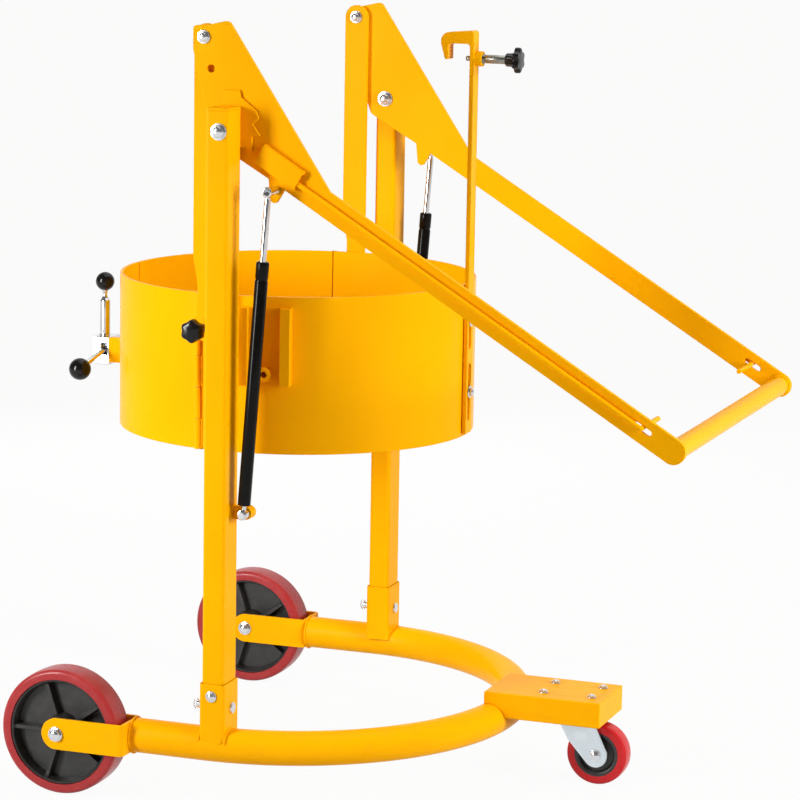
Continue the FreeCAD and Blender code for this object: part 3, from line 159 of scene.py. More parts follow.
def enamel():
    """Sprayed enamel: the film is a little thinner in patches and has a fine orange peel, and dust dulls it
    near the floor. Roughness is the film's own and a share each for thin patches, scuffs and dust."""
    material, spot = new_finish("yellow_enamel")
    patches = noise(spot, grains=7.0, detail=3.0).step(low=0.35, high=0.7)
    height = spot.node("SeparateXYZ", inputs={"Vector": spot}, out="Z")
    low_down = 1 - height.step(low=0.0, high=DUST_TOP)
    dust = low_down * noise(spot, grains=38.0, detail=4.0).step(low=0.45, high=0.75)
    scuffs = noise(spot, grains=55.0, detail=5.0, stretch=(1, 1, 0.25)).step(low=0.66, high=0.78)
    colour = (dust * DUST_COVER).blend(patches.blend(YELLOW_THIN, YELLOW), YELLOW_DULL)
    roughness = PAINT_ROUGH + patches * THIN_ROUGH + scuffs * SCUFF_ROUGH + dust * DUST_ROUGH
    peel = noise(spot, grains=340.0, detail=1.0) + noise(spot, grains=90.0, detail=1.0) * COARSE_PEEL
    return close_finish(material, spot, colour, roughness, peel, relief=0.0004, strength=0.015,
                        IOR=PAINT_INDEX)


yellow = enamel()


def ring(radius, sides=TUBE_SIDES):
    """A closed circle of points in its own plane; the last point is the first again."""
    turn = np.linspace(0, 2 * np.pi, sides + 1)
    return radius * np.stack([np.cos(turn), np.sin(turn)], axis=1)


def swept(path, section, flat, scale=1.0):
    """A section carried along a path that lies in a plane. Its first coordinate points sideways in the
    plane, its second along flat, the plane's normal, and scale sizes it at each point of the path."""
    flat = np.array(flat, float)
    ahead = np.gradient(path, axis=0)
    if np.allclose(path[0], path[-1]):
        ahead[0] = ahead[-1] = path[1] - path[-2]
    ahead /= np.linalg.norm(ahead, axis=1, keepdims=True)
    side = np.cross(ahead, flat)
    scale = np.broadcast_to(scale, len(path))[:, None, None]
    return path[:, None] + scale * (section[None, :, :1] * side[:, None] + section[None, :, 1:] * flat)


def closed_ends(grid):
    """Draw the first and last rows of a grid together to their middles, so that the skin has end caps."""
    first = np.broadcast_to(grid[:1].mean(axis=1, keepdims=True), grid[:1].shape)
    last = np.broadcast_to(grid[-1:].mean(axis=1, keepdims=True), grid[-1:].shape)
    return np.concatenate([first, grid, last])


def shell(name, *grids, crease=CREASE):
    """One mesh from grids of points: neighbours on a grid make its faces, points that meet at seams, poles
    and shared borders are merged, and edges sharper than crease degrees stay sharp."""
    points, faces, first = [], [], 0
    for grid in grids:
        rows, columns = grid.shape[:2]
        index = first + np.arange(rows * columns).reshape(rows, columns)
        corners = [index[:-1, :-1], index[1:, :-1], index[1:, 1:], index[:-1, 1:]]
        faces.append(np.stack(corners, axis=-1).reshape(-1, 4))
        points.append(grid.reshape(-1, 3))
        first += rows * columns
    mesh = bpy.data.meshes.new(name)
    mesh.from_pydata(np.concatenate(points), [], np.concatenate(faces))
    return finished(name, mesh, crease)


def finished(name, mesh, crease, flatten=False):
    """Merge what meets, turn the faces outwards, shade it smooth up to the crease, and make its object. A CAD
    copy's faces already point outwards, so its flat facets are joined instead."""
    work = bmesh.new()
    work.from_mesh(mesh)
    bmesh.ops.remove_doubles(work, verts=work.verts, dist=SEAM_GAP)
    bmesh.ops.dissolve_degenerate(work, edges=work.edges, dist=SEAM_GAP)
    if flatten:
        bmesh.ops.dissolve_limit(work, angle_limit=FACET_TILT, verts=work.verts, edges=work.edges)
    else:
        bmesh.ops.recalc_face_normals(work, faces=work.faces)
    work.to_mesh(mesh)
    work.free()
    mesh.shade_smooth()
    mesh.set_sharp_from_angle(angle=math.radians(crease))
    piece = bpy.data.objects.new(name, mesh)
    bpy.context.scene.collection.objects.link(piece)
    return piece


def dress(piece, finish, slot, body, *nodes):
    """Give a piece its finish, let it ride on a body, and let it stand for CAD nodes. The slot is not used.
    """
    piece.data.materials.clear()
    piece.data.materials.append(finish)
    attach(piece, body)
    if nodes:
        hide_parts(*nodes)


def place(node):
    """Middle and size of a CAD node's box at rest."""
    low, high = (np.array(corner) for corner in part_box(node))
    return (low + high) / 2, high - low


tube_middle, tube_size = place("base_tube")
tube_r = tube_size[2] / 2
rail_y = tube_size[1] / 2 - tube_r
rail_end = tube_middle[0] - tube_size[0] / 2
bend_x = tube_middle[0] + tube_size[0] / 2 - tube_r - rail_y
tube_z = tube_middle[2]
turn = np.linspace(-np.pi / 2, np.pi / 2, BEND_STEPS)
bend = np.stack([bend_x + rail_y * np.cos(turn), rail_y * np.sin(turn), 0 * turn + tube_z], axis=1)
rail_ends = np.array([[rail_end, -rail_y, tube_z], [rail_end, rail_y, tube_z]])
horseshoe = np.concatenate([rail_ends[:1], bend, rail_ends[1:]])
tube_skin = closed_ends(swept(horseshoe, ring(tube_r), (0, 0, 1)))
dress(shell("horseshoe_tube", tube_skin), yellow, "paint", "frame", "base_tube")


# Rear forks: steel strap bent to a U with rounded corners, holed for the axle and welded to the rail ends.
# The strap's cut edges are broken by hand before spraying.
STRAP_EDGE = 0.0012
SHARP_EDGE = math.radians(30)
WELD_R = 0.0018
WELD_SIDES = 14
WELD_SWELL = 0.14
WELD_LIFT = 0.0008
WELD_SET_BACK = 0.001
DROP_LENGTH = 0.0046


def eased(node, edge, finish, slot, steps=2):
    """A copy of a CAD solid with its sharp edges rounded: facets that lie flat are joined first, and a bevel
    of that width runs along every edge sharper than 30 degrees."""
    piece = finished(node + ".finished", frame["nodes"][node].data.copy(), CREASE, flatten=True)
    bevel = piece.modifiers.new("Broken edges", "BEVEL")
    bevel.width = edge
    bevel.segments = steps
    bevel.limit_method = "ANGLE"
    bevel.angle_limit = SHARP_EDGE
    bevel.use_clamp_overlap = False
    bevel.harden_normals = True
    dress(piece, finish, slot, frame["nodes"][node]["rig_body"], node)


def weld(path, radius, flat):
    """A weld bead: a tube along the seam that swells and sinks with each drop and tapers at open ends."""
    run = np.concatenate([[0], np.cumsum(np.linalg.norm(np.diff(path, axis=0), axis=1))])
    swell = 1 + WELD_SWELL * np.cos(2 * np.pi * run / DROP_LENGTH)
    if not np.allclose(path[0], path[-1]):
        edge = np.minimum(run, run[-1] - run) / (2 * radius)
        swell = swell * np.sqrt(np.clip(edge, 0, 1))
    return swept(path, ring(radius, WELD_SIDES), flat, swell)


def arc(centre, radius, across, up, start, end, steps=160):
    """Points on a circle about centre, from one angle to another, between two directions of its plane."""
    turn = np.radians(np.linspace(start, end, steps))[:, None]
    return np.array(centre) + radius * (np.cos(turn) * np.array(across) + np.sin(turn) * np.array(up))


for side in ("left", "right"):
    eased("rear_fork_" + side, STRAP_EDGE, yellow, "paint")
X, Y, Z = np.eye(3)
fork_welds = []
for spot in rail_ends:
    seam = arc(spot + WELD_SET_BACK * X, tube_r + WELD_LIFT, Y, Z, 0, 360)
    fork_welds.append(weld(seam, WELD_R, X))
dress(shell("fork_welds", *fork_welds), yellow, "paint", "frame")


# Rear axles: zinc-plated steel bolts through fork and hub, with a washer under each hexagon head and nut. The
# nuts' corners are cut to a cone, and the bolts' ends stand out of them as low domes.
AXLE_R = 0.008
NUT_SHARE = 0.88
CROWN_SHARE = 0.94
CROWN_FOOT_SHARE = 0.9
CROWN_SLOPE = 0.4
DOME_SHARE = 0.66
DOME_TALL_SHARE = 0.24
DOME_SUNK = 0.001
WASHER_EDGE = 0.0006
STEEP = 0.7
RUBBED_ROUGH = 0.05
ZINC = (0.74, 0.75, 0.76, 1)
ZINC_DULL = (0.67, 0.68, 0.70, 1)
TURNED_SIDES = 72


def plating(name, bright, dull, smooth, rough):
    """Bright plating: cloudy passivation, fine rubbing marks, and a faint grain in the surface."""
    material, spot = new_finish(name)
    cloud = noise(spot, grains=60.0, detail=3.0).step(low=0.35, high=0.7)
    rubbed = noise(spot, grains=900.0, detail=2.0, stretch=(1, 1, 0.15))
    colour = cloud.blend(dull, bright)
    roughness = rough - cloud * (rough - smooth) + (rubbed - 0.5) * RUBBED_ROUGH
    return close_finish(material, spot, colour, roughness, rubbed, relief=0.0001, strength=0.03, Metallic=1.0)


zinc = plating("bright_zinc", ZINC, ZINC_DULL, smooth=0.17, rough=0.25)


def turned(profile, centre, axis, outline=None, sides=TURNED_SIDES):
    """A turned form: each (radius, along) of the profile goes once round the axis through centre. Where an
    outline is given, it changes the radius round the turn."""
    reach, along = np.array(profile, float).T
    round_turn = np.linspace(0, 2 * np.pi, sides + 1)[None, :]
    reach, along, round_turn = np.broadcast_arrays(reach[:, None], along[:, None], round_turn)
    if outline:
        reach = outline(round_turn, reach, along)
    axis = np.array(axis, float) / np.linalg.norm(axis)
    across = np.cross(X if abs(axis[2]) > STEEP else Z, axis)
    across /= np.linalg.norm(across)
    other = np.cross(axis, across)
    spoke = np.cos(round_turn)[..., None] * across + np.sin(round_turn)[..., None] * other
    return np.array(centre) + along[..., None] * axis + reach[..., None] * spoke


def hexagon(radius):
    """An outline that trims a turned form to six flats with corners at that radius."""
    def trim(round_turn, reach, along):
        flat = radius * math.cos(np.pi / 6) / np.cos(np.mod(round_turn, np.pi / 3) - np.pi / 6)
        return np.minimum(reach, flat)
    return trim


def corner(radius, along, size, start, end, steps=5):
    """A rounded corner of a profile: an arc about (radius, along), from one angle to another. Angles count
    from outwards, in degrees."""
    turn = np.radians(np.linspace(start, end, steps))
    return list(zip(radius + size * np.cos(turn), along + size * np.sin(turn)))


def bolt_head(centre, axis, radius, tall, washer=0.0018):
    """A hexagon nut on a washer: the nut's six flats end in a cone-cut crown, and the bolt's domed end stands
    out of its middle. Returns its grids."""
    nut_r = NUT_SHARE * radius
    flat_r = nut_r * math.cos(np.pi / 6)
    nut_top = tall - DOME_TALL_SHARE * radius
    share = np.linspace(0, 1, 6)
    crown_r = flat_r * CROWN_SHARE
    crown_drop = CROWN_SLOPE * (nut_r - flat_r * CROWN_FOOT_SHARE)
    crown = zip(crown_r + (nut_r - crown_r) * share, nut_top - crown_drop * share)
    nut = [(0, nut_top), *crown, (nut_r, washer), (0, washer)]
    turn = np.linspace(0, np.pi / 2, 8)
    foot = nut_top - DOME_SUNK
    dome = [*zip(DOME_SHARE * radius * np.sin(turn), foot + (tall - foot) * np.cos(turn)), (0, foot)]
    washer_rim = corner(radius - WASHER_EDGE, washer - WASHER_EDGE, WASHER_EDGE, 90, 0)
    disc = [(0, washer), *washer_rim, (radius, 0), (0, 0)]
    return [turned(nut, centre, axis, hexagon(nut_r)), turned(dome, centre, axis), turned(disc, centre, axis)]


def shank(start, axis, radius, length, edge=0.0008):
    """A plain round pin from start along axis, with both ends chamfered."""
    profile = [(0, 0), (radius - edge, 0), (radius, edge), (radius, length - edge), (radius - edge, length),
               (0, length)]
    return [turned(profile, start, axis)]


axle_pieces = []
axle_size = place("rear_axles")[1]
axle_head_r = axle_size[0] / 2
for side, hand in (("left", -1), ("right", 1)):
    hub_middle = place("rear_tread_" + side)[0]
    fork_middle, fork_size = place("rear_fork_" + side)
    head_tall = axle_size[1] / 2 - abs(fork_middle[1]) - fork_size[1] / 2
    for end in (-1, 1):
        face = np.array([hub_middle[0], fork_middle[1] + end * fork_size[1] / 2, hub_middle[2]])
        axle_pieces += bolt_head(face, end * Y, axle_head_r, head_tall)
    foot = np.array([hub_middle[0], fork_middle[1] - fork_size[1] / 2, hub_middle[2]])
    axle_pieces += shank(foot, Y, AXLE_R, fork_size[1])
dress(shell("rear_axle_bolts", *axle_pieces), zinc, "zinc", "frame", "rear_axles")


# Rear wheels: a black moulded nylon core with five stiffening ribs, and a red urethane tread cast round it.
# Each turns on its axle in a plain bore.
RIBS = 5
RIB_PHASE = math.radians(36)
RIB_TOP = 0.0055
RIB_FOOT = 0.010
RIB_HALF = 0.018
HUB_R = 0.024
RIM_WALL = 0.004
WEB_HALF = 0.005
RIM_HALF = 0.023
WEB_RINGS = 16
POCKET_STEPS = 14
HUB_EDGE = 0.002
HUB_FOOT = 0.004
RIM_FOOT = 0.003
LIP_EDGE = 0.0015
CORE_EDGE = 0.0012
CORE_BORE_R = 0.0082
TREAD_SIDES = 128
TREAD_STEPS = 25
TREAD_CROWN = 0.0006
TREAD_FOOT = 0.001
TREAD_SHOULDER = 0.007
SHOULDER_STEPS = 9
SHOULDER_END = 8
SEAM_TALL = 0.00025
SEAM_SHARE = 0.1
BRICK = (0.36, 0.028, 0.031, 1)
BRICK_WORN = (0.40, 0.046, 0.048, 1)
NYLON = (0.017, 0.0165, 0.016, 1)
NYLON_DULL = (0.034, 0.033, 0.032, 1)
URETHANE_ROUGH = 0.24
URETHANE_INDEX = 1.36
WORN_COVER = 0.6
WORN_ROUGH = 0.14
ROLLED_ROUGH = 0.08
NYLON_ROUGH = 0.34
HANDLED_COVER = 0.6
HANDLED_ROUGH = 0.1
GRAIN_ROUGH = 0.06


def urethane(name, fresh, worn):
    """Cast urethane: waxy gloss, cloudy colour, and a surface a little scuffed by rolling."""
    material, spot = new_finish(name)
    cloud = noise(spot, grains=45.0, detail=4.0).step(low=0.4, high=0.75)
    scuff = noise(spot, grains=120.0, detail=2.0)
    colour = (cloud * WORN_COVER).blend(fresh, worn)
    roughness = URETHANE_ROUGH + cloud * WORN_ROUGH + scuff * ROLLED_ROUGH
    return close_finish(material, spot, colour, roughness, scuff, relief=0.0002, strength=0.03,
                        IOR=URETHANE_INDEX)


def moulded(name, base, dull):
    """Moulded black plastic: fine spark-eroded grain, with dull patches where it is handled."""
    material, spot = new_finish(name)
    patches = noise(spot, grains=60.0, detail=3.0).step(low=0.4, high=0.7)
    grain = noise(spot, grains=1400.0, detail=1.0)
    colour = (patches * HANDLED_COVER).blend(base, dull)
    roughness = NYLON_ROUGH + patches * HANDLED_ROUGH + grain * GRAIN_ROUGH
    return close_finish(material, spot, colour, roughness, grain, relief=0.0002, strength=0.12)


brick_red = urethane("brick_red_urethane", BRICK, BRICK_WORN)
black_nylon = moulded("black_nylon", NYLON, NYLON_DULL)


def ribbed_core(centre, core_r, hub_half, bore_r):
    """A wheel core. Over each face a height goes from hub to web to rim with the radius, and rises to the
    ribs' tops across each rib; grid lines follow the ribs' edges, so the ribs keep one width."""
    rim_in = core_r - RIM_WALL
    web = np.linspace(HUB_R + HUB_FOOT, rim_in - RIM_FOOT, WEB_RINGS)
    reach = np.concatenate([[bore_r, HUB_R - HUB_EDGE, HUB_R], web,
                            [rim_in, rim_in + LIP_EDGE, core_r - CORE_EDGE, core_r]])
    plain = np.concatenate([[hub_half, hub_half, hub_half - LIP_EDGE], np.full(WEB_RINGS, WEB_HALF),
                            [RIM_HALF - LIP_EDGE, RIM_HALF, RIM_HALF, RIM_HALF - CORE_EDGE]])
    step = 2 * np.pi / RIBS
    top = np.arcsin(RIB_TOP / 2 / reach)
    foot = np.arcsin(RIB_FOOT / 2 / reach)
    pocket = [foot + share * (step - 2 * foot) for share in np.linspace(0, 1, POCKET_STEPS)]
    sector = np.stack([0 * top, top, *pocket, step - top], axis=1)
    raised = np.array([1, 1, *np.zeros(POCKET_STEPS), 1])
    turns = np.concatenate([sector + k * step for k in range(RIBS)] + [sector[:, :1] + 2 * np.pi], axis=1)
    ribs = np.concatenate([raised] * RIBS + [raised[:1]])
    tall = np.maximum(plain[:, None], RIB_HALF * ribs[None, :])
    flat = np.stack([reach[:, None] * np.cos(turns + RIB_PHASE), 0 * turns,
                     reach[:, None] * np.sin(turns + RIB_PHASE)], axis=-1)
    near, far = (np.array(centre) + flat + hand * tall[..., None] * Y for hand in (-1, 1))
    return [near, far, np.stack([near[0], far[0]]), np.stack([near[-1], far[-1]])]


def tyre(centre, outer_r, inner_r, half, shoulder):
    """A cast tread: flat sides, round shoulders, a crown that stands a little proud and a fine mould seam."""
    top = outer_r - TREAD_CROWN
    half_top = half - shoulder
    foot_r = inner_r + TREAD_FOOT
    across = np.linspace(half_top, -half_top, TREAD_STEPS)
    seam = SEAM_TALL * (np.abs(across) < SEAM_SHARE * shoulder)
    over = np.minimum(top + TREAD_CROWN * (1 - (across / half_top) ** 2) + seam, outer_r)
    near = corner(top - shoulder, half_top, shoulder, 90, SHOULDER_END, SHOULDER_STEPS)
    far = corner(top - shoulder, -half_top, shoulder, -SHOULDER_END, -90, SHOULDER_STEPS)
    profile = [(inner_r, half), (foot_r, half), *near, *zip(over, across), *far,
               (foot_r, -half), (inner_r, -half), (inner_r, half)]
    return [turned(profile, centre, Y, sides=TREAD_SIDES)]


for side in ("left", "right"):
    hub_middle, wheel_size = place("rear_tread_" + side)
    core_size = place("rear_core_" + side)[1]
    core_r = core_size[0] / 2
    core = ribbed_core(hub_middle, core_r, core_size[1] / 2, CORE_BORE_R)
    body = "rear_wheel_" + side
    dress(shell("ribbed_core_" + side, *core, crease=30), black_nylon, "core", body, "rear_core_" + side)
    rubber = tyre(hub_middle, wheel_size[0] / 2, core_r, wheel_size[1] / 2, TREAD_SHOULDER)
    dress(shell("urethane_tread_" + side, *rubber), brick_red, "tread", body, "rear_tread_" + side)


# Caster box: a folded sheet-steel tray, open below and behind, welded over the front of the horseshoe. The
# caster's top plate is bolted up under it with four hexagon bolts.
BOX_EDGE = 0.0022
TOP_PLATE_EDGE = 0.0008
PLATE_BOLT_R = 0.0075
PLATE_SHANK_R = 0.004
PLATE_NUT = 0.005
KING_R = 0.006
KING_HEAD = 0.006
KING_ROUND = 0.003
eased("caster_box", BOX_EDGE, yellow, "paint", steps=3)
eased("caster_plate", TOP_PLATE_EDGE, zinc, "zinc")
box_middle, box_size = place("caster_box")
bolts_middle, bolts_size = place("caster_bolts")
box_top = box_middle[2] + box_size[2] / 2
bolt_inset = PLATE_BOLT_R * np.array([1, math.cos(np.pi / 6), 0])
bolt_tall = bolts_middle[2] + bolts_size[2] / 2 - box_top
nut_low = bolts_middle[2] - bolts_size[2] / 2
plate_bolts = []
for i in (-1, 1):
    for j in (-1, 1):
        spot = bolts_middle + 0.5 * np.array([i, j, 0]) * (bolts_size - 2 * bolt_inset)
        top = np.array([spot[0], spot[1], box_top])
        under = np.array([spot[0], spot[1], nut_low])
        plate_bolts += bolt_head(top, Z, PLATE_BOLT_R, bolt_tall)
        plate_bolts += bolt_head(under, Z, PLATE_BOLT_R, PLATE_NUT)
        plate_bolts += shank(under, Z, PLATE_SHANK_R, box_top - nut_low)
dress(shell("plate_bolts", *plate_bolts), zinc, "zinc", "frame", "caster_bolts")
king_middle, king_size = place("caster_kingpin")
king_foot = king_middle - 0.5 * king_size[2] * Z
king_head_r = king_size[0] / 2
king_profile = [(0, 0), *corner(king_head_r - KING_ROUND, KING_ROUND, KING_ROUND, -90, 0),
                (king_head_r, KING_HEAD), (KING_R, KING_HEAD), (KING_R, king_size[2]), (0, king_size[2])]
dress(shell("kingpin", turned(king_profile, king_foot, Z)), zinc, "zinc", "frame", "caster_kingpin")


# Caster fork: pressed from one steel blank, a crown with two legs folded down to the wheel's axle and a ball
# race rolled into the top. It is zinc plated and pale.
FORK_STEEL = 0.004
FORK_BEND = 0.009
FORK_EYE_R = 0.0195
FORK_CROWN_HALF = 0.031
FORK_BACK = 0.034
FORK_CUT = math.radians(42)
FORK_LEAD = 0.1
FORK_PLAY = 0.0005
FORK_DROP = 0.0022
FORK_EDGE = 0.0009
FORK_EDGE_ANGLE = math.radians(40)
RACE_BORE_R = 0.0062
RACE_TALL = 0.006
RACE_ROUND = 0.003
RACE_LIP = 0.006
RACE_GROOVE = ((-0.010, 0.0045), (-0.014, 0.006))
CASTER_AXLE_R = 0.006
CASTER_WASHER = 0.001
PALE_ZINC = (0.70, 0.77, 0.81, 1)
PALE_ZINC_DULL = (0.64, 0.71, 0.75, 1)
pale_zinc = plating("pale_zinc", PALE_ZINC, PALE_ZINC_DULL, smooth=0.38, rough=0.46)
fork_middle, fork_size = place("caster_fork")
caster_middle, caster_size = place("caster_tread")
axle_middle, axle_box = place("caster_axle")
fork_top = fork_middle[2] + fork_size[2] / 2
fork_half = place("caster_core")[1][1] / 2 + FORK_PLAY + FORK_STEEL


def pressed_fork():
    """A sheet carried over an inverted U. Down each leg its front edge runs from the crown to the eye and its
    rear edge keeps the leg wide, then cuts in along a tangent to the eye, a half circle about the axle."""
    low = caster_middle[2] - FORK_EYE_R
    high = fork_top - FORK_DROP
    rise = np.concatenate([low + FORK_EYE_R * (1 - np.cos(np.linspace(0, np.pi / 2, 10))),
                           np.linspace(caster_middle[2], high - FORK_BEND, 30)[1:]])
    fold = np.linspace(0, np.pi / 2, 8)[1:]
    leg = np.stack([np.full(len(rise), fork_half), rise], axis=1)
    bend = np.stack([fork_half - FORK_BEND * (1 - np.cos(fold)),
                     high - FORK_BEND * (1 - np.sin(fold))], axis=1)
    half_path = np.concatenate([leg, bend])
    path = np.concatenate([half_path * (-1, 1), half_path[::-1]])
    level = path[:, 1] - caster_middle[2]
    share = np.clip(level / (high - caster_middle[2]), 0, 1)
    trail = caster_middle[0] - king_middle[0]
    eye = np.sqrt(np.clip(FORK_EYE_R ** 2 - np.minimum(level, 0) ** 2, 0, None))
    tangent = (FORK_EYE_R + level * math.sin(FORK_CUT)) / math.cos(FORK_CUT)
    wide = FORK_BACK + share * (trail + FORK_CROWN_HALF - FORK_BACK)
    rear = np.where(level < -FORK_EYE_R * math.sin(FORK_CUT), eye, np.minimum(tangent, wide))
    swept_in = np.clip((1 + FORK_LEAD) * share - FORK_LEAD, 0, 1)
    front = eye + swept_in * (FORK_CROWN_HALF - trail - FORK_EYE_R)
    across = np.linspace(0, 1, 13)
    x = caster_middle[0] - rear[:, None] + (rear + front)[:, None] * across
    y, z = (np.broadcast_to(path[:, k:k + 1], x.shape) for k in (0, 1))
    return np.stack([x, y, z], axis=-1)


def stepped(radius, along, table):
    """Points of a profile beside a place: each (change, level) of a table is added to (radius, along)."""
    return [(radius + change, along + level) for change, level in table]


legs = shell("pressed_fork", pressed_fork())
wall = legs.modifiers.new("Steel", "SOLIDIFY")
wall.thickness = FORK_STEEL
wall.offset = -1
soft = legs.modifiers.new("Pressed edges", "BEVEL")
soft.width = FORK_EDGE
soft.segments = 2
soft.limit_method = "ANGLE"
soft.angle_limit = FORK_EDGE_ANGLE
dress(legs, pale_zinc, "zinc", "caster_swivel", "caster_fork")
race_r = fork_size[1] / 2
race_low = fork_top - RACE_TALL
race_edge = corner(race_r - RACE_ROUND, RACE_ROUND, RACE_ROUND, -60, 60, 8)
race = [(RACE_BORE_R, 0), (race_r - RACE_LIP, 0), *race_edge, (race_r - RACE_LIP, RACE_TALL),
        *stepped(race_r, 0, RACE_GROOVE), (RACE_BORE_R, RACE_TALL), (RACE_BORE_R, 0)]
king_axis = np.array([king_middle[0], 0, race_low])
dress(shell("swivel_race", turned(race, king_axis, Z)), pale_zinc, "zinc", "caster_swivel")
nut_r = axle_box[0] / 2
caster_nuts = []
for end in (-1, 1):
    face = np.array([axle_middle[0], end * fork_half, axle_middle[2]])
    caster_nuts += bolt_head(face, end * Y, nut_r, axle_box[1] / 2 - fork_half, CASTER_WASHER)
axle_start = np.array([axle_middle[0], -fork_half, axle_middle[2]])
caster_nuts += shank(axle_start, Y, CASTER_AXLE_R, 2 * fork_half)
dress(shell("caster_axle_bolt", *caster_nuts), zinc, "zinc", "caster_swivel", "caster_axle")


# Caster wheel: a black nylon core with a dished face, and a bright red urethane tread cast round it. It turns
# on the axle between the fork's legs.
CASTER_BORE_R = 0.0061
BOSS_R = 0.0128
DISH = ((0.014, 0), (0.0155, -0.004), (0.018, -0.0055))
DISH_RIM = ((-0.009, -0.0055), (-0.0065, -0.001), (-0.005, 0), (0, 0))
CASTER_SHOULDER = 0.005
SIGNAL_RED = (0.54, 0.012, 0.016, 1)
SIGNAL_RED_WORN = (0.58, 0.030, 0.034, 1)
bright_red = urethane("signal_red_urethane", SIGNAL_RED, SIGNAL_RED_WORN)


def mirrored(face):
    """The other half of a profile that is alike on both sides: its points in turn back, along reversed."""
    return [(reach, -along) for reach, along in reversed(face)]


core_middle, core_size = place("caster_core")
core_r = core_size[0] / 2
core_half = caster_size[1] / 2
boss_half = core_size[1] / 2
face = [(CASTER_BORE_R, boss_half), (BOSS_R, boss_half), *stepped(0, core_half, DISH),
        *stepped(core_r, core_half, DISH_RIM)]
profile = face + mirrored(face) + face[:1]
hub = shell("caster_hub", turned(profile, core_middle, Y))
dress(hub, black_nylon, "core", "caster_wheel", "caster_core")
rubber = tyre(caster_middle, caster_size[0] / 2, core_r, core_half, CASTER_SHOULDER)
dress(shell("caster_tyre", *rubber), bright_red, "tread", "caster_wheel", "caster_tread")


# Posts: rectangular steel tube with rounded corners, standing in short sockets that are welded astride the
# rails. A bolt in the side and a clevis pin with a wire ring hold each post in its socket.
POST_EDGE = 0.001
SOCKET_EDGE = 0.0005
POST_CORNER_R = 0.006
FLAT_MARGIN = 0.0012
CLIP_WIRE_R = 0.0009
CLIP_HALF = (0.0048, 0.0078)
CLIP_STEPS = 48
CLIP_SIDES = 12
UPRIGHT_STEPS = 30
SOCKET_WELD_OUT = 0.0004
SOCKET_WELD_LIFT = 0.0006
SOCKET_WELD_ENDS = (18, 162)
SIDE_BOLT_R = 0.005
SIDE_BOLT_LONG = 0.03
CLEVIS_R = 0.006
CLEVIS_CHAMFER = 0.0012
CLEVIS_HEAD = 0.004
CLEVIS_ROUND = 0.0015


def rounded_ring(wide, deep, round_r, steps=9):
    """A closed ring of points round a rectangle with round corners: a quarter circle at each corner, and one
    more point beside each end of it on the flats, so that the flats are shaded flat."""
    turn = np.radians([0, *np.linspace(0, 90, steps), 90])
    slide = np.array([-FLAT_MARGIN, *np.zeros(steps), FLAT_MARGIN])[:, None]
    corners = []
    for quarter, (i, j) in enumerate([(1, 1), (-1, 1), (-1, -1), (1, -1)]):
        spoke = np.stack([np.cos(turn + quarter * np.pi / 2), np.sin(turn + quarter * np.pi / 2)], axis=1)
        middle = np.array([i * (wide / 2 - round_r), j * (deep / 2 - round_r)])
        corners.append(middle + round_r * spoke + slide * spoke[:, ::-1] * (-1, 1))
    return np.concatenate([*corners, corners[0][:1]])


eased("post_sockets", SOCKET_EDGE, yellow, "paint")
eased("post_caps", POST_EDGE, yellow, "paint")
for side in ("left", "right"):
    upright_middle, upright_size = place("post_" + side)
    upright_line = upright_middle + np.linspace(-0.5, 0.5, UPRIGHT_STEPS)[:, None] * upright_size[2] * Z
    upright_ring = rounded_ring(upright_size[0], upright_size[1], POST_CORNER_R)
    upright = closed_ends(swept(upright_line, upright_ring, Y))
    dress(shell("post_tube_" + side, upright), yellow, "paint", "frame", "post_" + side)
socket_middle, socket_size = place("post_sockets")
post_middle, post_size = place("post_left")
post_y = abs(post_middle[1])
socket_welds = []
for hand in (-1, 1):
    for end in (-1, 1):
        weld_x = socket_middle[0] + end * (socket_size[0] / 2 + SOCKET_WELD_OUT)
        foot = np.array([weld_x, hand * rail_y, tube_z])
        seam = arc(foot, tube_r + SOCKET_WELD_LIFT, Y, Z, *SOCKET_WELD_ENDS)
        socket_welds.append(weld(seam, WELD_R, X))
dress(shell("socket_welds", *socket_welds), yellow, "paint", "frame")
bolt_middle, bolt_size = place("socket_bolts")
side_heads = []
for hand in (-1, 1):
    face = np.array([bolt_middle[0], hand * socket_size[1] / 2, bolt_middle[2]])
    side_heads += bolt_head(face, hand * Y, bolt_size[0] / 2, (bolt_size[1] - socket_size[1]) / 2)
    side_heads += shank(face - SIDE_BOLT_LONG * hand * Y, hand * Y, SIDE_BOLT_R, SIDE_BOLT_LONG)
dress(shell("socket_side_bolts", *side_heads), zinc, "zinc", "frame", "socket_bolts")
pin_middle, pin_size = place("clevis_pins")
clevis_long = pin_size[0]
clevis_neck = clevis_long - CLEVIS_HEAD
pin_head_r = pin_size[2] / 2
pin_head = corner(pin_head_r - CLEVIS_ROUND, clevis_long - CLEVIS_ROUND, CLEVIS_ROUND, 0, 90)
profile = [(0, 0), (CLEVIS_R - CLEVIS_CHAMFER, 0), (CLEVIS_R, CLEVIS_CHAMFER), (CLEVIS_R, clevis_neck),
           (pin_head_r, clevis_neck), *pin_head, (0, clevis_long)]
pins, clips = [], []
for hand in (-1, 1):
    tail = np.array([pin_middle[0] - clevis_long / 2, hand * post_y, pin_middle[2]])
    pins.append(turned(profile, tail, X))
    clip_line = ring(1.0, CLIP_STEPS) * CLIP_HALF
    clip_line = tail + clip_line[:, :1] * X + clip_line[:, 1:] * Z
    clips.append(swept(clip_line, ring(CLIP_WIRE_R, CLIP_SIDES), Y))
dress(shell("clevis_bolts", *pins), zinc, "zinc", "frame", "clevis_pins")
dress(shell("wire_clips", *clips), zinc, "zinc", "frame", "r_clips")


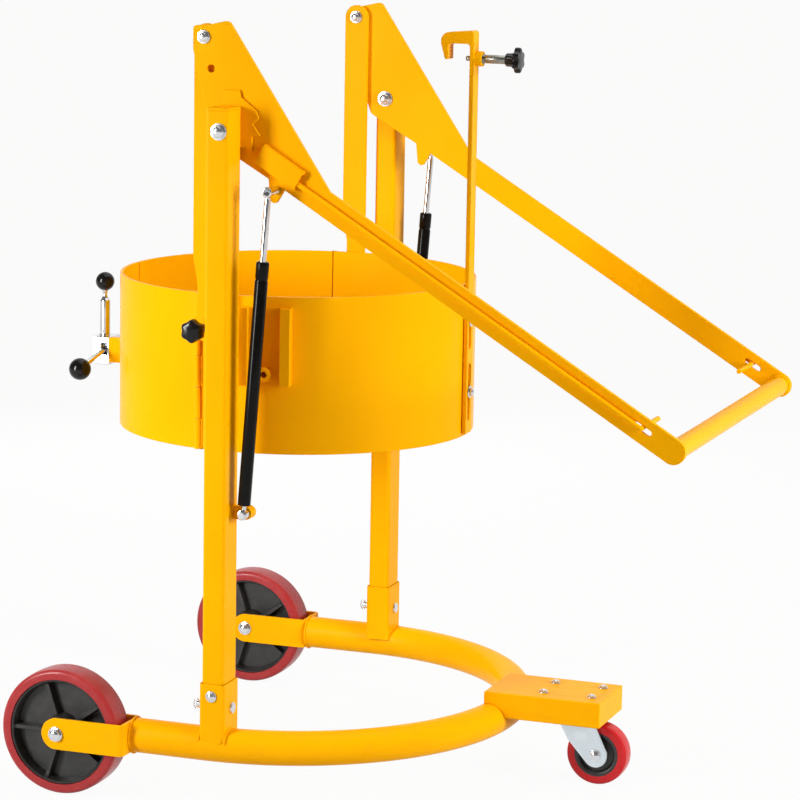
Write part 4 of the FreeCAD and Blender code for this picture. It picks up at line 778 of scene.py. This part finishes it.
# Gas spring feet: a thick steel lug welded to the front of each post. A headed pin through it carries the
# spring's lower eye on its outer end.
FOOT_PIN_R = 0.005
FOOT_PIN_LONG = 0.0406
FOOT_HEAD = 0.0025
FOOT_ROUND = 0.0015
LUG_EDGE = 0.0012
eased("spring_lugs", LUG_EDGE, yellow, "paint")
foot_middle, foot_size = place("spring_pins")
foot_head_r = foot_size[0] / 2
foot_neck = FOOT_PIN_LONG - FOOT_HEAD
outer_round = corner(foot_head_r - FOOT_ROUND, FOOT_ROUND, FOOT_ROUND, -90, 0)
inner_round = corner(foot_head_r - FOOT_ROUND, FOOT_PIN_LONG - FOOT_ROUND, FOOT_ROUND, 0, 90)
profile = [(0, 0), *outer_round, (foot_head_r, FOOT_HEAD), (FOOT_PIN_R, FOOT_HEAD), (FOOT_PIN_R, foot_neck),
           (foot_head_r, foot_neck), *inner_round, (0, FOOT_PIN_LONG)]
foot_pins = []
for hand in (-1, 1):
    outer = np.array([foot_middle[0], hand * foot_size[1] / 2, foot_middle[2]])
    foot_pins.append(turned(profile, outer, -hand * Y))
dress(shell("spring_foot_pins", *foot_pins), zinc, "zinc", "frame", "spring_pins")


# Ratchet sectors: flame-cut plates welded inside the post tops, with teeth for the lever's pawls. A large
# bolt through each post is the lever's fulcrum.
PLATE_EDGE = 0.0011
FULCRUM_R = 0.01
RUN_GAP = 0.0003
eased("ratchet_sectors", PLATE_EDGE, yellow, "paint")
fulcrum_middle, fulcrum_size = place("fulcrum_bolts")
lever_middle, lever_size = place("lever_plate_left")
lever_in = abs(lever_middle[1]) - lever_size[1] / 2
post_out = post_y + post_size[1] / 2
fulcrum_tall = fulcrum_size[1] / 2 - post_out
fulcrum_bolts = []
for hand in (-1, 1):
    outer = np.array([fulcrum_middle[0], hand * post_out, fulcrum_middle[2]])
    inner = np.array([fulcrum_middle[0], hand * (lever_in - RUN_GAP), fulcrum_middle[2]])
    fulcrum_bolts += bolt_head(outer, hand * Y, fulcrum_size[0] / 2, fulcrum_tall)
    fulcrum_bolts += bolt_head(inner, -hand * Y, fulcrum_size[0] / 2, fulcrum_tall)
    fulcrum_bolts += shank(inner, hand * Y, FULCRUM_R, post_out - lever_in)
dress(shell("fulcrum_hex_bolts", *fulcrum_bolts), zinc, "zinc", "frame", "fulcrum_bolts")


# Hand lever: two profile-cut plates, each a head and a long arm, joined by a round grip tube that is welded
# between the arms' ends.
GRIP_STEPS = 40
GRIP_WELD_R = 0.0026
GRIP_WELD_IN = 0.0008
GRIP_WELD_LIFT = 0.0006
LOAD_BOLT_R = 0.008
for side in ("left", "right"):
    eased("lever_plate_" + side, PLATE_EDGE, yellow, "paint")
grip_middle, grip_size = place("grip_tube")
grip_r = grip_size[0] / 2
grip_line = grip_middle + np.linspace(-0.5, 0.5, GRIP_STEPS)[:, None] * grip_size[1] * Y
grip_skin = closed_ends(swept(grip_line, ring(grip_r), X))
dress(shell("grip_bar", grip_skin), yellow, "paint", "lever", "grip_tube")
grip_welds = []
for hand in (-1, 1):
    grip_end = grip_middle + hand * (grip_size[1] / 2 - GRIP_WELD_IN) * Y
    grip_welds.append(weld(arc(grip_end, grip_r + GRIP_WELD_LIFT, X, Z, 0, 360), GRIP_WELD_R, Y))
dress(shell("grip_welds", *grip_welds), yellow, "paint", "lever")
load_middle, load_size = place("pivot_bolts")
hanger_middle, hanger_size = place("hanger_bar_left")
hanger_in = abs(hanger_middle[1]) - hanger_size[1] / 2 - RUN_GAP
lever_out = lever_in + lever_size[1]
load_tall = load_size[1] / 2 - lever_out
load_bolts = []
for hand in (-1, 1):
    outer = np.array([load_middle[0], hand * lever_out, load_middle[2]])
    inner = np.array([load_middle[0], hand * hanger_in, load_middle[2]])
    load_bolts += bolt_head(outer, hand * Y, load_size[0] / 2, load_tall)
    load_bolts += bolt_head(inner, -hand * Y, load_size[0] / 2, load_tall)
    load_bolts += shank(inner, hand * Y, LOAD_BOLT_R, lever_out - hanger_in)
dress(shell("load_pivot_bolts", *load_bolts), zinc, "zinc", "lever", "pivot_bolts")
stud_middle, stud_size = place("spring_studs")
studs = []
for hand in (-1, 1):
    start = np.array([stud_middle[0], hand * lever_out, stud_middle[2]])
    studs += shank(start, hand * Y, stud_size[0] / 2, stud_size[1] / 2 - lever_out)
dress(shell("spring_top_studs", *studs), zinc, "zinc", "lever", "spring_studs")


# Pawls: flat steel noses that slide in folded housings on the arms, each drawn back by a thin painted rod
# with a finger peg beside the grip.
HOUSING_EDGE = 0.0014
PAWL_EDGE = 0.0006
RELEASE_EDGE = 0.0008
eased("pawl_housings", HOUSING_EDGE, yellow, "paint", steps=3)
for side in ("left", "right"):
    eased("pawl_" + side, PAWL_EDGE, yellow, "paint")
    eased("release_rod_" + side, RELEASE_EDGE, yellow, "paint")


# Hanger bars: flat steel bars that hang from the load pivots and carry the saddle's trunnions. They are
# sprayed with the frame's enamel.
for side in ("left", "right"):
    eased("hanger_bar_" + side, PLATE_EDGE, yellow, "paint")


# Saddle: a rolled steel band with trunnion bosses, a bracket with a bush welded to its left side, and hinge
# barrels at both ends.
BAND_EDGE = 0.0008
HOOK_STEEL = 0.0066
TRUNNION_EDGE = 0.0008
GUIDE_R = 0.005
GUIDE_NUT_R = 0.0085
GUIDE_NUT = 0.006
GUIDE_NUT_WASHER = 0.0004
GUIDE_WASHER = 0.002
GUIDE_WASHER_EDGE = 0.0005
SPACER_R = 0.009
SPACER_EDGE = 0.0003
SPACER_FROM = 0.0046
SPACER_TO = 0.0083
eased("saddle_band", BAND_EDGE, yellow, "paint")
eased("lock_bracket", BAND_EDGE, yellow, "paint")
eased("trunnion_pins", TRUNNION_EDGE, yellow, "paint")
hinge_middle, hinge_size = place("hinge_pins")
hinge_pin_r = hinge_size[0] / 2
hinge_y = hinge_size[1] / 2 - hinge_pin_r
hinge_low = hinge_middle[2] - hinge_size[2] / 2
hinge_rods = []
for hand in (-1, 1):
    hinge_rods += shank(np.array([hinge_middle[0], hand * hinge_y, hinge_low]), Z, hinge_pin_r, hinge_size[2])
dress(shell("hinge_rods", *hinge_rods), zinc, "zinc", "saddle", "hinge_pins")
guide_middle, guide_size = place("hook_guide_bolts")
guide_in = guide_middle[0] - guide_size[0] / 2
guide_out = guide_middle[0] + guide_size[0] / 2
washer_r = guide_size[1] / 2
spacer_in = guide_in + SPACER_FROM
spacer_out = guide_out - SPACER_TO - HOOK_STEEL - RUN_GAP
nut_face = guide_out - GUIDE_NUT
guides = []
for hand in (-1, 1):
    z = guide_middle[2] + hand * (guide_size[2] / 2 - washer_r)
    washer_face = np.array([nut_face - GUIDE_WASHER, 0, z])
    guides += shank(np.array([guide_in, 0, z]), X, GUIDE_R, guide_size[0] - GUIDE_NUT)
    guides += shank(np.array([spacer_in, 0, z]), X, SPACER_R, spacer_out - spacer_in, SPACER_EDGE)
    guides += shank(washer_face, X, washer_r, GUIDE_WASHER, GUIDE_WASHER_EDGE)
    guides += bolt_head(np.array([nut_face, 0, z]), X, GUIDE_NUT_R, GUIDE_NUT, GUIDE_NUT_WASHER)
dress(shell("hook_guides", *guides), zinc, "zinc", "saddle", "hook_guide_bolts")


# Gates: the two rear halves of the band, each on its own hinge. The left one carries a zinc latch block, the
# right one a keeper tongue under it.
LATCH_BLOCK_EDGE = 0.0016
for side in ("left", "right"):
    eased("gate_" + side, BAND_EDGE, yellow, "paint")
eased("latch_block", LATCH_BLOCK_EDGE, zinc, "zinc", steps=3)


# Latch pin and handle: a chromed pin with a waist under its black ball, and a chromed lever with a second
# ball. The lever's eye turns on a pin in a pocket of the block.
CHROME = (0.70, 0.70, 0.71, 1)
CHROME_DULL = (0.63, 0.63, 0.64, 1)
PHENOLIC = (0.0050, 0.0046, 0.0044, 1)
PHENOLIC_DULL = (0.0090, 0.0085, 0.0082, 1)
RESIN_INDEX = 1.34
RESIN_ROUGH = 0.12
BLOOM_ROUGH = 0.14
BLOOM_COVER = 0.5
BALL_STEPS = 40
BALL_CUT = 1.5
BALL_CUT_MOST = 0.95
WAIST_R = 0.0034
WAIST_LONG = 0.017
WAIST_FERRULE = ((0.0006, -0.009), (0, -0.007), (0.0002, -0.005), (0.0015, -0.001), (0.0036, 0.0025),
                 (0.003, 0.004))
PIN_CHAMFER = 0.001
PIN_ROUND = 0.003
PIN_NECK_R = 0.0046
HANDLE_EYE_R = 0.007
HANDLE_EYE_HALF = 0.005
HANDLE_EYE_EDGE = 0.0012
STEM_R = 0.0045
STEM_FOOT = ((-0.0008, 0), (0, 0.004))
STEM_COLLAR = ((0, -0.010), (-0.0006, -0.008), (-0.0006, -0.004), (0.0017, 0.0005), (0.0013, 0.003))
HANDLE_NECK_R = 0.0044
HANDLE_PIVOT_R = 0.003
chrome = plating("chrome", CHROME, CHROME_DULL, smooth=0.07, rough=0.11)


def phenolic():
    """Black pressed resin: nearly mirror gloss with a soft bloom of finger marks."""
    material, spot = new_finish("black_resin")
    bloom = noise(spot, grains=70.0, detail=4.0).step(low=0.42, high=0.72)
    ripple = noise(spot, grains=240.0, detail=1.0)
    colour = (bloom * BLOOM_COVER).blend(PHENOLIC, PHENOLIC_DULL)
    roughness = RESIN_ROUGH + bloom * BLOOM_ROUGH
    return close_finish(material, spot, colour, roughness, ripple, relief=0.0002, strength=0.05,
                        IOR=RESIN_INDEX)


resin = phenolic()


def ball_knob(centre, axis, radius, neck_r):
    """A ball whose side towards the rod, along axis, is cut flat where the rod's ferrule meets it."""
    cut = math.degrees(math.asin(min(BALL_CUT_MOST, BALL_CUT * neck_r / radius)))
    turn = np.radians(np.linspace(180, cut, BALL_STEPS))
    flat = radius * math.cos(math.radians(cut))
    profile = [*zip(radius * np.sin(turn), radius * np.cos(turn)), (neck_r, flat), (0, flat)]
    return [turned(profile, centre, axis)]


latch_middle, latch_size = place("latch_pin")
top_ball_middle, top_ball_size = place("latch_ball")
latch_low = latch_middle[2] - latch_size[2] / 2
latch_r = latch_size[0] / 2
latch_axis = np.array([latch_middle[0], latch_middle[1], latch_low])
top_ball_r = top_ball_size[0] / 2
top_ball = np.array([latch_middle[0], latch_middle[1],
                     top_ball_middle[2] + top_ball_size[2] / 2 - top_ball_r])
ball_foot = top_ball[2] - latch_low - top_ball_r
shoulder = ball_foot - WAIST_LONG
ferrule = stepped(WAIST_R, ball_foot, WAIST_FERRULE)
pin_profile = [(0, 0), (latch_r - PIN_CHAMFER, 0), (latch_r, PIN_CHAMFER), (latch_r, shoulder),
               *corner(latch_r - PIN_ROUND, shoulder, PIN_ROUND, 0, 60), *ferrule, (0, ferrule[-1][1])]
dress(shell("chromed_pin", turned(pin_profile, latch_axis, Z)), chrome, "bright", "latch_pin", "latch_pin")
pin_ball = ball_knob(top_ball, -Z, top_ball_r, PIN_NECK_R)
dress(shell("pin_ball", *pin_ball), resin, "knob", "latch_pin", "latch_ball")
handle_middle, handle_size = place("latch_handle")
swing_middle, swing_size = place("handle_ball")
swing_r = swing_size[0] / 2
swing_ball = swing_middle - swing_size / 2 + swing_r
handle_pivot = handle_middle + (handle_size / 2 - HANDLE_EYE_R) * (0, 1, 1)
stem = swing_ball - handle_pivot
stem_long = np.linalg.norm(stem)
stem /= stem_long
stem_end = stem_long - swing_r
collar = stepped(STEM_R, stem_end, STEM_COLLAR)
stem_profile = [(0, 0), *stepped(STEM_R, 0, STEM_FOOT), *collar, (0, collar[-1][1])]
eye_side = corner(HANDLE_EYE_R - HANDLE_EYE_EDGE, HANDLE_EYE_HALF - HANDLE_EYE_EDGE, HANDLE_EYE_EDGE, 0, 90)
eye_profile = [(0, -HANDLE_EYE_HALF), *mirrored(eye_side), *eye_side, (0, HANDLE_EYE_HALF)]
handle = [turned(stem_profile, handle_pivot, stem), turned(eye_profile, handle_pivot, X)]
handle += shank(handle_pivot - handle_size[0] / 2 * X, X, HANDLE_PIVOT_R, handle_size[0])
dress(shell("chromed_handle", *handle), chrome, "bright", "latch_handle", "latch_handle")
knob = ball_knob(swing_ball, -stem, swing_r, HANDLE_NECK_R)
dress(shell("handle_ball_knob", *knob), resin, "knob", "latch_handle", "handle_ball")


# Top hook: a slotted flat bar with a hook cut from plate at its top, sliding on the two guide bolts. It is
# sprayed with the frame's enamel.
eased("hook_bar", PLATE_EDGE, yellow, "paint")


# Clamping screws: rolled threads with black star knobs, one through the hook and one at the left trunnion.
# The knobs are pressed resin.
THREAD_PITCH = 0.002
THREAD_DEPTH = 0.0011
LOBES = 6
THREAD_SIDES = 36
THREAD_STEPS = 8
CHAMFER_SHARE = 0.6
CHAMFER_RUN = 2.5
LOBES_FROM_SHARE = 0.35
LOBES_GROW_SHARE = 0.5
KNOB_SIDES = 96
KNOB_DOME_SHARE = 0.12
KNOB_DOME_REACH = 0.82
KNOB_ROUND_SHARE = 0.2
KNOB_RIM_GROWTH = 1.6
KNOB_RIM_SHARE = 0.16
KNOB_HUB_R = 0.011
KNOB_HUB_EDGE = 0.001
KNOB_HUB_TAPER = (0.94, 0.88)
HOOK_VALLEY_R = 0.0155
TILT_VALLEY_R = 0.0158
TILT_SCREW_R = 0.006
TILT_COLLAR = 0.012
SCREW_LAP = 0.001
HUB_LAP = 0.002
NECK_RELIEF = 0.0002
STEEL = (0.34, 0.33, 0.29, 1)
STEEL_DULL = (0.27, 0.26, 0.23, 1)
SCREW_R = 0.007
POINT_R = 0.004
POINT_LONG = 0.0095
HUB_LONG = 0.014
THREAD_LONG = 0.024
oiled_steel = plating("oiled_steel", STEEL, STEEL_DULL, smooth=0.24, rough=0.42)


def thread(round_turn, reach, along):
    """A screw thread: the radius falls to its root and rises again once each pitch, a pitch per turn."""
    phase = np.mod(along / THREAD_PITCH - round_turn / (2 * np.pi), 1)
    return reach - THREAD_DEPTH * (1 - np.abs(2 * phase - 1)) * (reach > THREAD_DEPTH)


def threaded(start, axis, radius, length):
    """A threaded rod with chamfered ends, as a turned form with a thread round it."""
    steps = np.linspace(0, length, int(THREAD_STEPS * length / THREAD_PITCH))
    inset = np.minimum(steps, length - steps)
    chamfer = np.minimum(1, CHAMFER_SHARE + inset / (CHAMFER_RUN * THREAD_DEPTH))
    profile = [(0, 0), *zip(radius * chamfer, steps), (0, length)]
    return [turned(profile, start, axis, thread, THREAD_SIDES)]


def star(reach_out, valley):
    """An outline with rounded lobes: the radius swings between a lobe and the valley beside it, fully at the
    rim and not at all at the middle."""
    def lobed(round_turn, reach, along):
        dip = (1 + np.cos(LOBES * round_turn)) / 2
        full = np.clip((reach / reach_out - LOBES_FROM_SHARE) / LOBES_GROW_SHARE, 0, 1)
        return reach * (1 - (1 - valley / reach_out) * dip * full)
    return lobed


def star_knob(face, axis, radius, valley, tall, hub_r, hub_tall):
    """A star knob seen from its outer face inwards: a low dome, a lobed rim with round edges, and a neck."""
    round_r = KNOB_ROUND_SHARE * tall
    rim_r = round_r * KNOB_RIM_GROWTH
    foot = -tall - hub_tall
    dome_shares = np.linspace(0, KNOB_DOME_REACH, 8)
    dome = [(radius * share, -KNOB_DOME_SHARE * tall * share ** 2) for share in dome_shares]
    rim = corner(radius - rim_r, -KNOB_RIM_SHARE * tall - round_r, rim_r, 75, 0, 6)
    low = corner(radius - round_r, -tall + round_r, round_r, 0, -90, 5)
    wide, narrow = (hub_r * share for share in KNOB_HUB_TAPER)
    neck = [(hub_r + KNOB_HUB_EDGE, -tall), (hub_r, -tall - KNOB_HUB_EDGE), (wide, foot + KNOB_HUB_EDGE),
            (narrow, foot), (0, foot)]
    return [turned([*dome, *rim, *low, *neck], face, axis, star(radius, valley), KNOB_SIDES)]


screw_middle, screw_size = place("hook_screw")
knob_middle, knob_size = place("hook_knob")
screw_start = np.array([screw_middle[0] - screw_size[0] / 2, 0, screw_middle[2]])
hook_screw = shank(screw_start, X, POINT_R, POINT_LONG + SCREW_LAP)
hook_screw += threaded(screw_start + POINT_LONG * X, X, SCREW_R, THREAD_LONG)
neck_from = POINT_LONG + THREAD_LONG - SCREW_LAP
neck_long = screw_size[0] - neck_from - HUB_LONG + HUB_LAP
hook_screw += shank(screw_start + neck_from * X, X, SCREW_R - NECK_RELIEF, neck_long)
dress(shell("hook_thread", *hook_screw, crease=60), oiled_steel, "zinc", "hook_screw", "hook_screw")
knob_face = np.array([knob_middle[0] + knob_size[0] / 2, 0, knob_middle[2]])
hook_star = star_knob(knob_face, X, knob_size[2] / 2, HOOK_VALLEY_R, knob_size[0], KNOB_HUB_R, HUB_LONG)
dress(shell("hook_star_knob", *hook_star), resin, "knob", "hook_screw", "hook_knob")
clamp_middle, clamp_size = place("tilt_screw")
tilt_middle, tilt_size = place("tilt_knob")
clamp_end = clamp_middle[1] + clamp_size[1] / 2
clamp_start = np.array([clamp_middle[0], clamp_end, clamp_middle[2]])
tilt_screw = threaded(clamp_start, -Y, TILT_SCREW_R, clamp_size[1] - TILT_COLLAR + HUB_LAP)
dress(shell("tilt_thread", *tilt_screw, crease=60), oiled_steel, "zinc", "tilt_screw", "tilt_screw")
tilt_face = np.array([tilt_middle[0], tilt_middle[1] - tilt_size[1] / 2, tilt_middle[2]])
tilt_star = star_knob(tilt_face, -Y, tilt_size[2] / 2, TILT_VALLEY_R, tilt_size[1], KNOB_HUB_R, TILT_COLLAR)
dress(shell("tilt_star_knob", *tilt_star), resin, "knob", "tilt_screw", "tilt_knob")


# Gas springs: black painted steel cylinders with a rolled-in gland, chromed rods, and bright ring eyes. The
# lower eye turns on the post's pin, and the upper one has a blind socket for the lever's stud.
BLACK_PAINT = (0.0030, 0.0028, 0.0025, 1)
BLACK_WORN = (0.0055, 0.0052, 0.0048, 1)
BLACK_INDEX = 1.22
BLACK_ROUGH = 0.16
DRAWN_ROUGH = 0.1
BLACK_COVER = 0.5
EYE_R = 0.008
SOCKET_R = 0.0045
SOCKET_DEEP = 0.010
EYE_HALF = 0.0075
SOCKET_MOUTH = 0.0008
EYE_EDGE = 0.0012
EYE_ROUND = 0.002
EYE_BUSH = ((0, 0), (0.0008, 0), (0.001, -0.0005))
LOWER_BORE_R = 0.0051
LOWER_NECK = ((0, 0.0065), (0.0039, 0.0065), (0.0039, 0.015), (0, 0.015))
CYLINDER_R = 0.010
ROD_R = 0.005
ROD_FROM = 0.116
ROD_OUT = 0.1053
ROD_TIP = ((0, -0.014), (-0.0007, -0.0105), (-0.0007, -0.008))
BARREL_FOOT = ((0, 0.0145), (0.0082, 0.0145), (0.0094, 0.0150), (CYLINDER_R, 0.0168))
GLAND_ROLL = ((0, -0.03), (-0.0009, -0.0285), (-0.0009, -0.0265), (0, -0.025))
GLAND_ROUND = 0.003
GLAND_MOUTH = ((0.0012, 0), (0.0010, -0.001))


def black_paint():
    """Stoved black paint on drawn tube: glossy, with faint marks along the tube."""
    material, spot = new_finish("stoved_black")
    drawn = noise(spot, grains=300.0, detail=3.0, stretch=(1, 1, 0.08))
    cloud = noise(spot, grains=30.0, detail=3.0).step(low=0.4, high=0.7)
    colour = (cloud * BLACK_COVER).blend(BLACK_PAINT, BLACK_WORN)
    roughness = BLACK_ROUGH + drawn * DRAWN_ROUGH
    return close_finish(material, spot, colour, roughness, drawn, relief=0.0002, strength=0.05,
                        IOR=BLACK_INDEX)


stoved_black = black_paint()


def ring_eye(centre, bore_r):
    """An eye turned about its bore: a thin bush, a fine groove round it and rounded shoulders, alike on
    both sides."""
    face = [*stepped(bore_r, EYE_HALF, EYE_BUSH),
            *corner(EYE_R - EYE_EDGE, EYE_HALF - EYE_EDGE, EYE_EDGE, 90, 0, 5)]
    return [turned(face + mirrored(face) + face[:1], centre, Y)]


def socket_eye(centre, axis):
    """An eye with a blind socket in its outer face, along axis, and rounded shoulders."""
    side = corner(EYE_R - EYE_ROUND, EYE_HALF - EYE_ROUND, EYE_ROUND, 90, 0, 6)
    floor = EYE_HALF - SOCKET_DEEP
    profile = [(0, floor), (SOCKET_R, floor), (SOCKET_R, EYE_HALF - SOCKET_MOUTH),
               (SOCKET_R + SOCKET_MOUTH, EYE_HALF), *side, *mirrored(side), (0, -EYE_HALF)]
    return [turned(profile, centre, axis)]


for side, hand in (("left", -1), ("right", 1)):
    foot = np.array([foot_middle[0], hand * post_y, foot_middle[2]])
    top = np.array([stud_middle[0], hand * post_y, stud_middle[2]])
    lean = top - foot
    long = np.linalg.norm(lean)
    lean /= long
    barrel_end = long - ROD_OUT
    mouth = stepped(ROD_R, barrel_end, GLAND_MOUTH)
    barrel = [*BARREL_FOOT, *stepped(CYLINDER_R, barrel_end, GLAND_ROLL),
              *corner(CYLINDER_R - GLAND_ROUND, barrel_end - GLAND_ROUND, GLAND_ROUND, 0, 90), *mouth,
              (0, mouth[-1][1])]
    body = "gas_cylinder_" + side
    dress(shell("black_barrel_" + side, turned(barrel, foot, lean)), stoved_black, "cylinder", body, body)
    lower = [*ring_eye(foot, LOWER_BORE_R), turned(LOWER_NECK, foot, lean)]
    dress(shell("lower_eye_" + side, *lower), chrome, "bright", body)
    tip = stepped(ROD_R, long, ROD_TIP)
    rod = [(0, ROD_FROM), (ROD_R, ROD_FROM), *tip, (0, tip[-1][1])]
    upper = [*socket_eye(top, hand * Y), turned(rod, foot, lean)]
    body = "gas_rod_" + side
    dress(shell("chromed_rod_" + side, *upper), chrome, "bright", body, body)


# Studio: a wide pale floor, a white surround that the lens and bright metal see, large soft lamps, and the
# camera at the place and angle of the photograph.
FLOOR_HALF = 30.0
SEEN_WHITE = 0.95
SURROUND_LIGHT = 0.23
FLOOR_GREY = (0.6, 0.6, 0.6, 1)
SURROUND_TINT = (1, 0.70, 0.44, 1)
DIM_SIDE = 0.2
BLACK = (0, 0, 0, 1)
WHITE = (1, 1, 1, 1)


def seen_directly(start):
    """1 for rays from the lens, and for those that gloss or glass sends on, else 0."""
    path = start.node("LightPath")
    outs = path.socket.node.outputs
    seen = ("Is Camera Ray", "Is Glossy Ray", "Is Transmission Ray")
    rays = [Wire(start.tree, outs[name]) for name in seen]
    return (rays[0] + rays[1] + rays[2]).step(low=0, high=1)


floor_finish = bpy.data.materials.new("pale_floor")
floor_finish.use_nodes = True
floor_finish.node_tree.nodes.clear()
start = Wire(floor_finish.node_tree)
matt = start.node("BsdfDiffuse", inputs={"Color": FLOOR_GREY})
white = start.node("Emission", inputs={"Color": WHITE, "Strength": 1.0})
mixed = start.node("MixShader", inputs={0: seen_directly(start) * SEEN_WHITE, 1: matt, 2: white})
start.node("OutputMaterial", inputs={"Surface": mixed})
span = np.array([-FLOOR_HALF, FLOOR_HALF])
ground = np.stack([*np.meshgrid(span, span, indexing="ij"), np.zeros((2, 2))], axis=-1)
floor = shell("floor", ground)
floor.data.materials.append(floor_finish)

world = bpy.data.worlds.new("surround")
bpy.context.scene.world = world
world.use_nodes = True
world.node_tree.nodes.clear()
start = Wire(world.node_tree)
soft_light = start.node("Background", inputs={"Color": SURROUND_TINT, "Strength": SURROUND_LIGHT})
ahead = start.node("SeparateXYZ", inputs={"Vector": start.node("TexCoord", out="Generated")}, out="Y")
backdrop = DIM_SIDE + ahead.step(low=0.1, high=0.6) * (1 - DIM_SIDE)
shade = backdrop.blend(BLACK, WHITE)
white = start.node("Background", inputs={"Color": shade, "Strength": 1.0})
mixed = start.node("MixShader", inputs={0: seen_directly(start), 1: soft_light, 2: white})
start.node("OutputWorld", inputs={"Surface": mixed})


def looking(spot, target):
    """A matrix at spot whose -Z axis points at target."""
    back = (Vector(spot) - Vector(target)).normalized()
    return Matrix.Translation(spot) @ back.to_track_quat("Z", "Y").to_matrix().to_4x4()


def soft_lamp(name, spot, target, wide, tall, power):
    """A softbox of that width and height that faces a target."""
    data = bpy.data.lights.new(name, "AREA")
    data.shape = "RECTANGLE"
    data.size = wide
    data.size_y = tall
    data.energy = power
    lamp = bpy.data.objects.new(name, data)
    lamp.matrix_world = looking(spot, target)
    bpy.context.scene.collection.objects.link(lamp)
    return lamp


MACHINE_MIDDLE = (0.0, 0.0, 0.6)
KEY_TARGET = (-0.5, -0.35, 0.65)
KEY_SPREAD = math.radians(70)
key = soft_lamp("key", spot=(-1.55, -1.95, 1.15), target=KEY_TARGET, wide=0.4, tall=1.4, power=10.5)
key.data.spread = KEY_SPREAD
fill = soft_lamp("fill", spot=(3.0, -0.6, 1.3), target=MACHINE_MIDDLE, wide=1.0, tall=1.6, power=86)
fill.visible_glossy = False
rear = soft_lamp("rear", spot=(-1.4, 2.6, 1.5), target=MACHINE_MIDDLE, wide=1.8, tall=1.8, power=50)
rear.visible_glossy = False
soft_lamp("top", spot=(0.2, 0.4, 3.4), target=MACHINE_MIDDLE, wide=2.6, tall=2.6, power=29)

CAMERA_SPOT = (1.7749, -4.8791, 1.4954)
CAMERA_YAW = math.radians(20.0936)
CAMERA_PITCH = math.radians(9.8358)
CAMERA_ROLL = math.radians(1.0075)
FOCAL_PIXELS = 3283.2
PICTURE_PIXELS = 800
SENSOR_MM = 36.0
lens = bpy.data.cameras.new("camera")
lens.sensor_width = SENSOR_MM
lens.lens = FOCAL_PIXELS / PICTURE_PIXELS * SENSOR_MM
camera = bpy.data.objects.new("camera", lens)
camera.location = CAMERA_SPOT
camera.rotation_euler = (math.pi / 2 - CAMERA_PITCH, 0, CAMERA_YAW)
camera.rotation_euler.rotate_axis("Z", CAMERA_ROLL)
bpy.context.scene.collection.objects.link(camera)
bpy.context.scene.camera = camera
bpy.context.scene.view_settings.view_transform = "Standard"
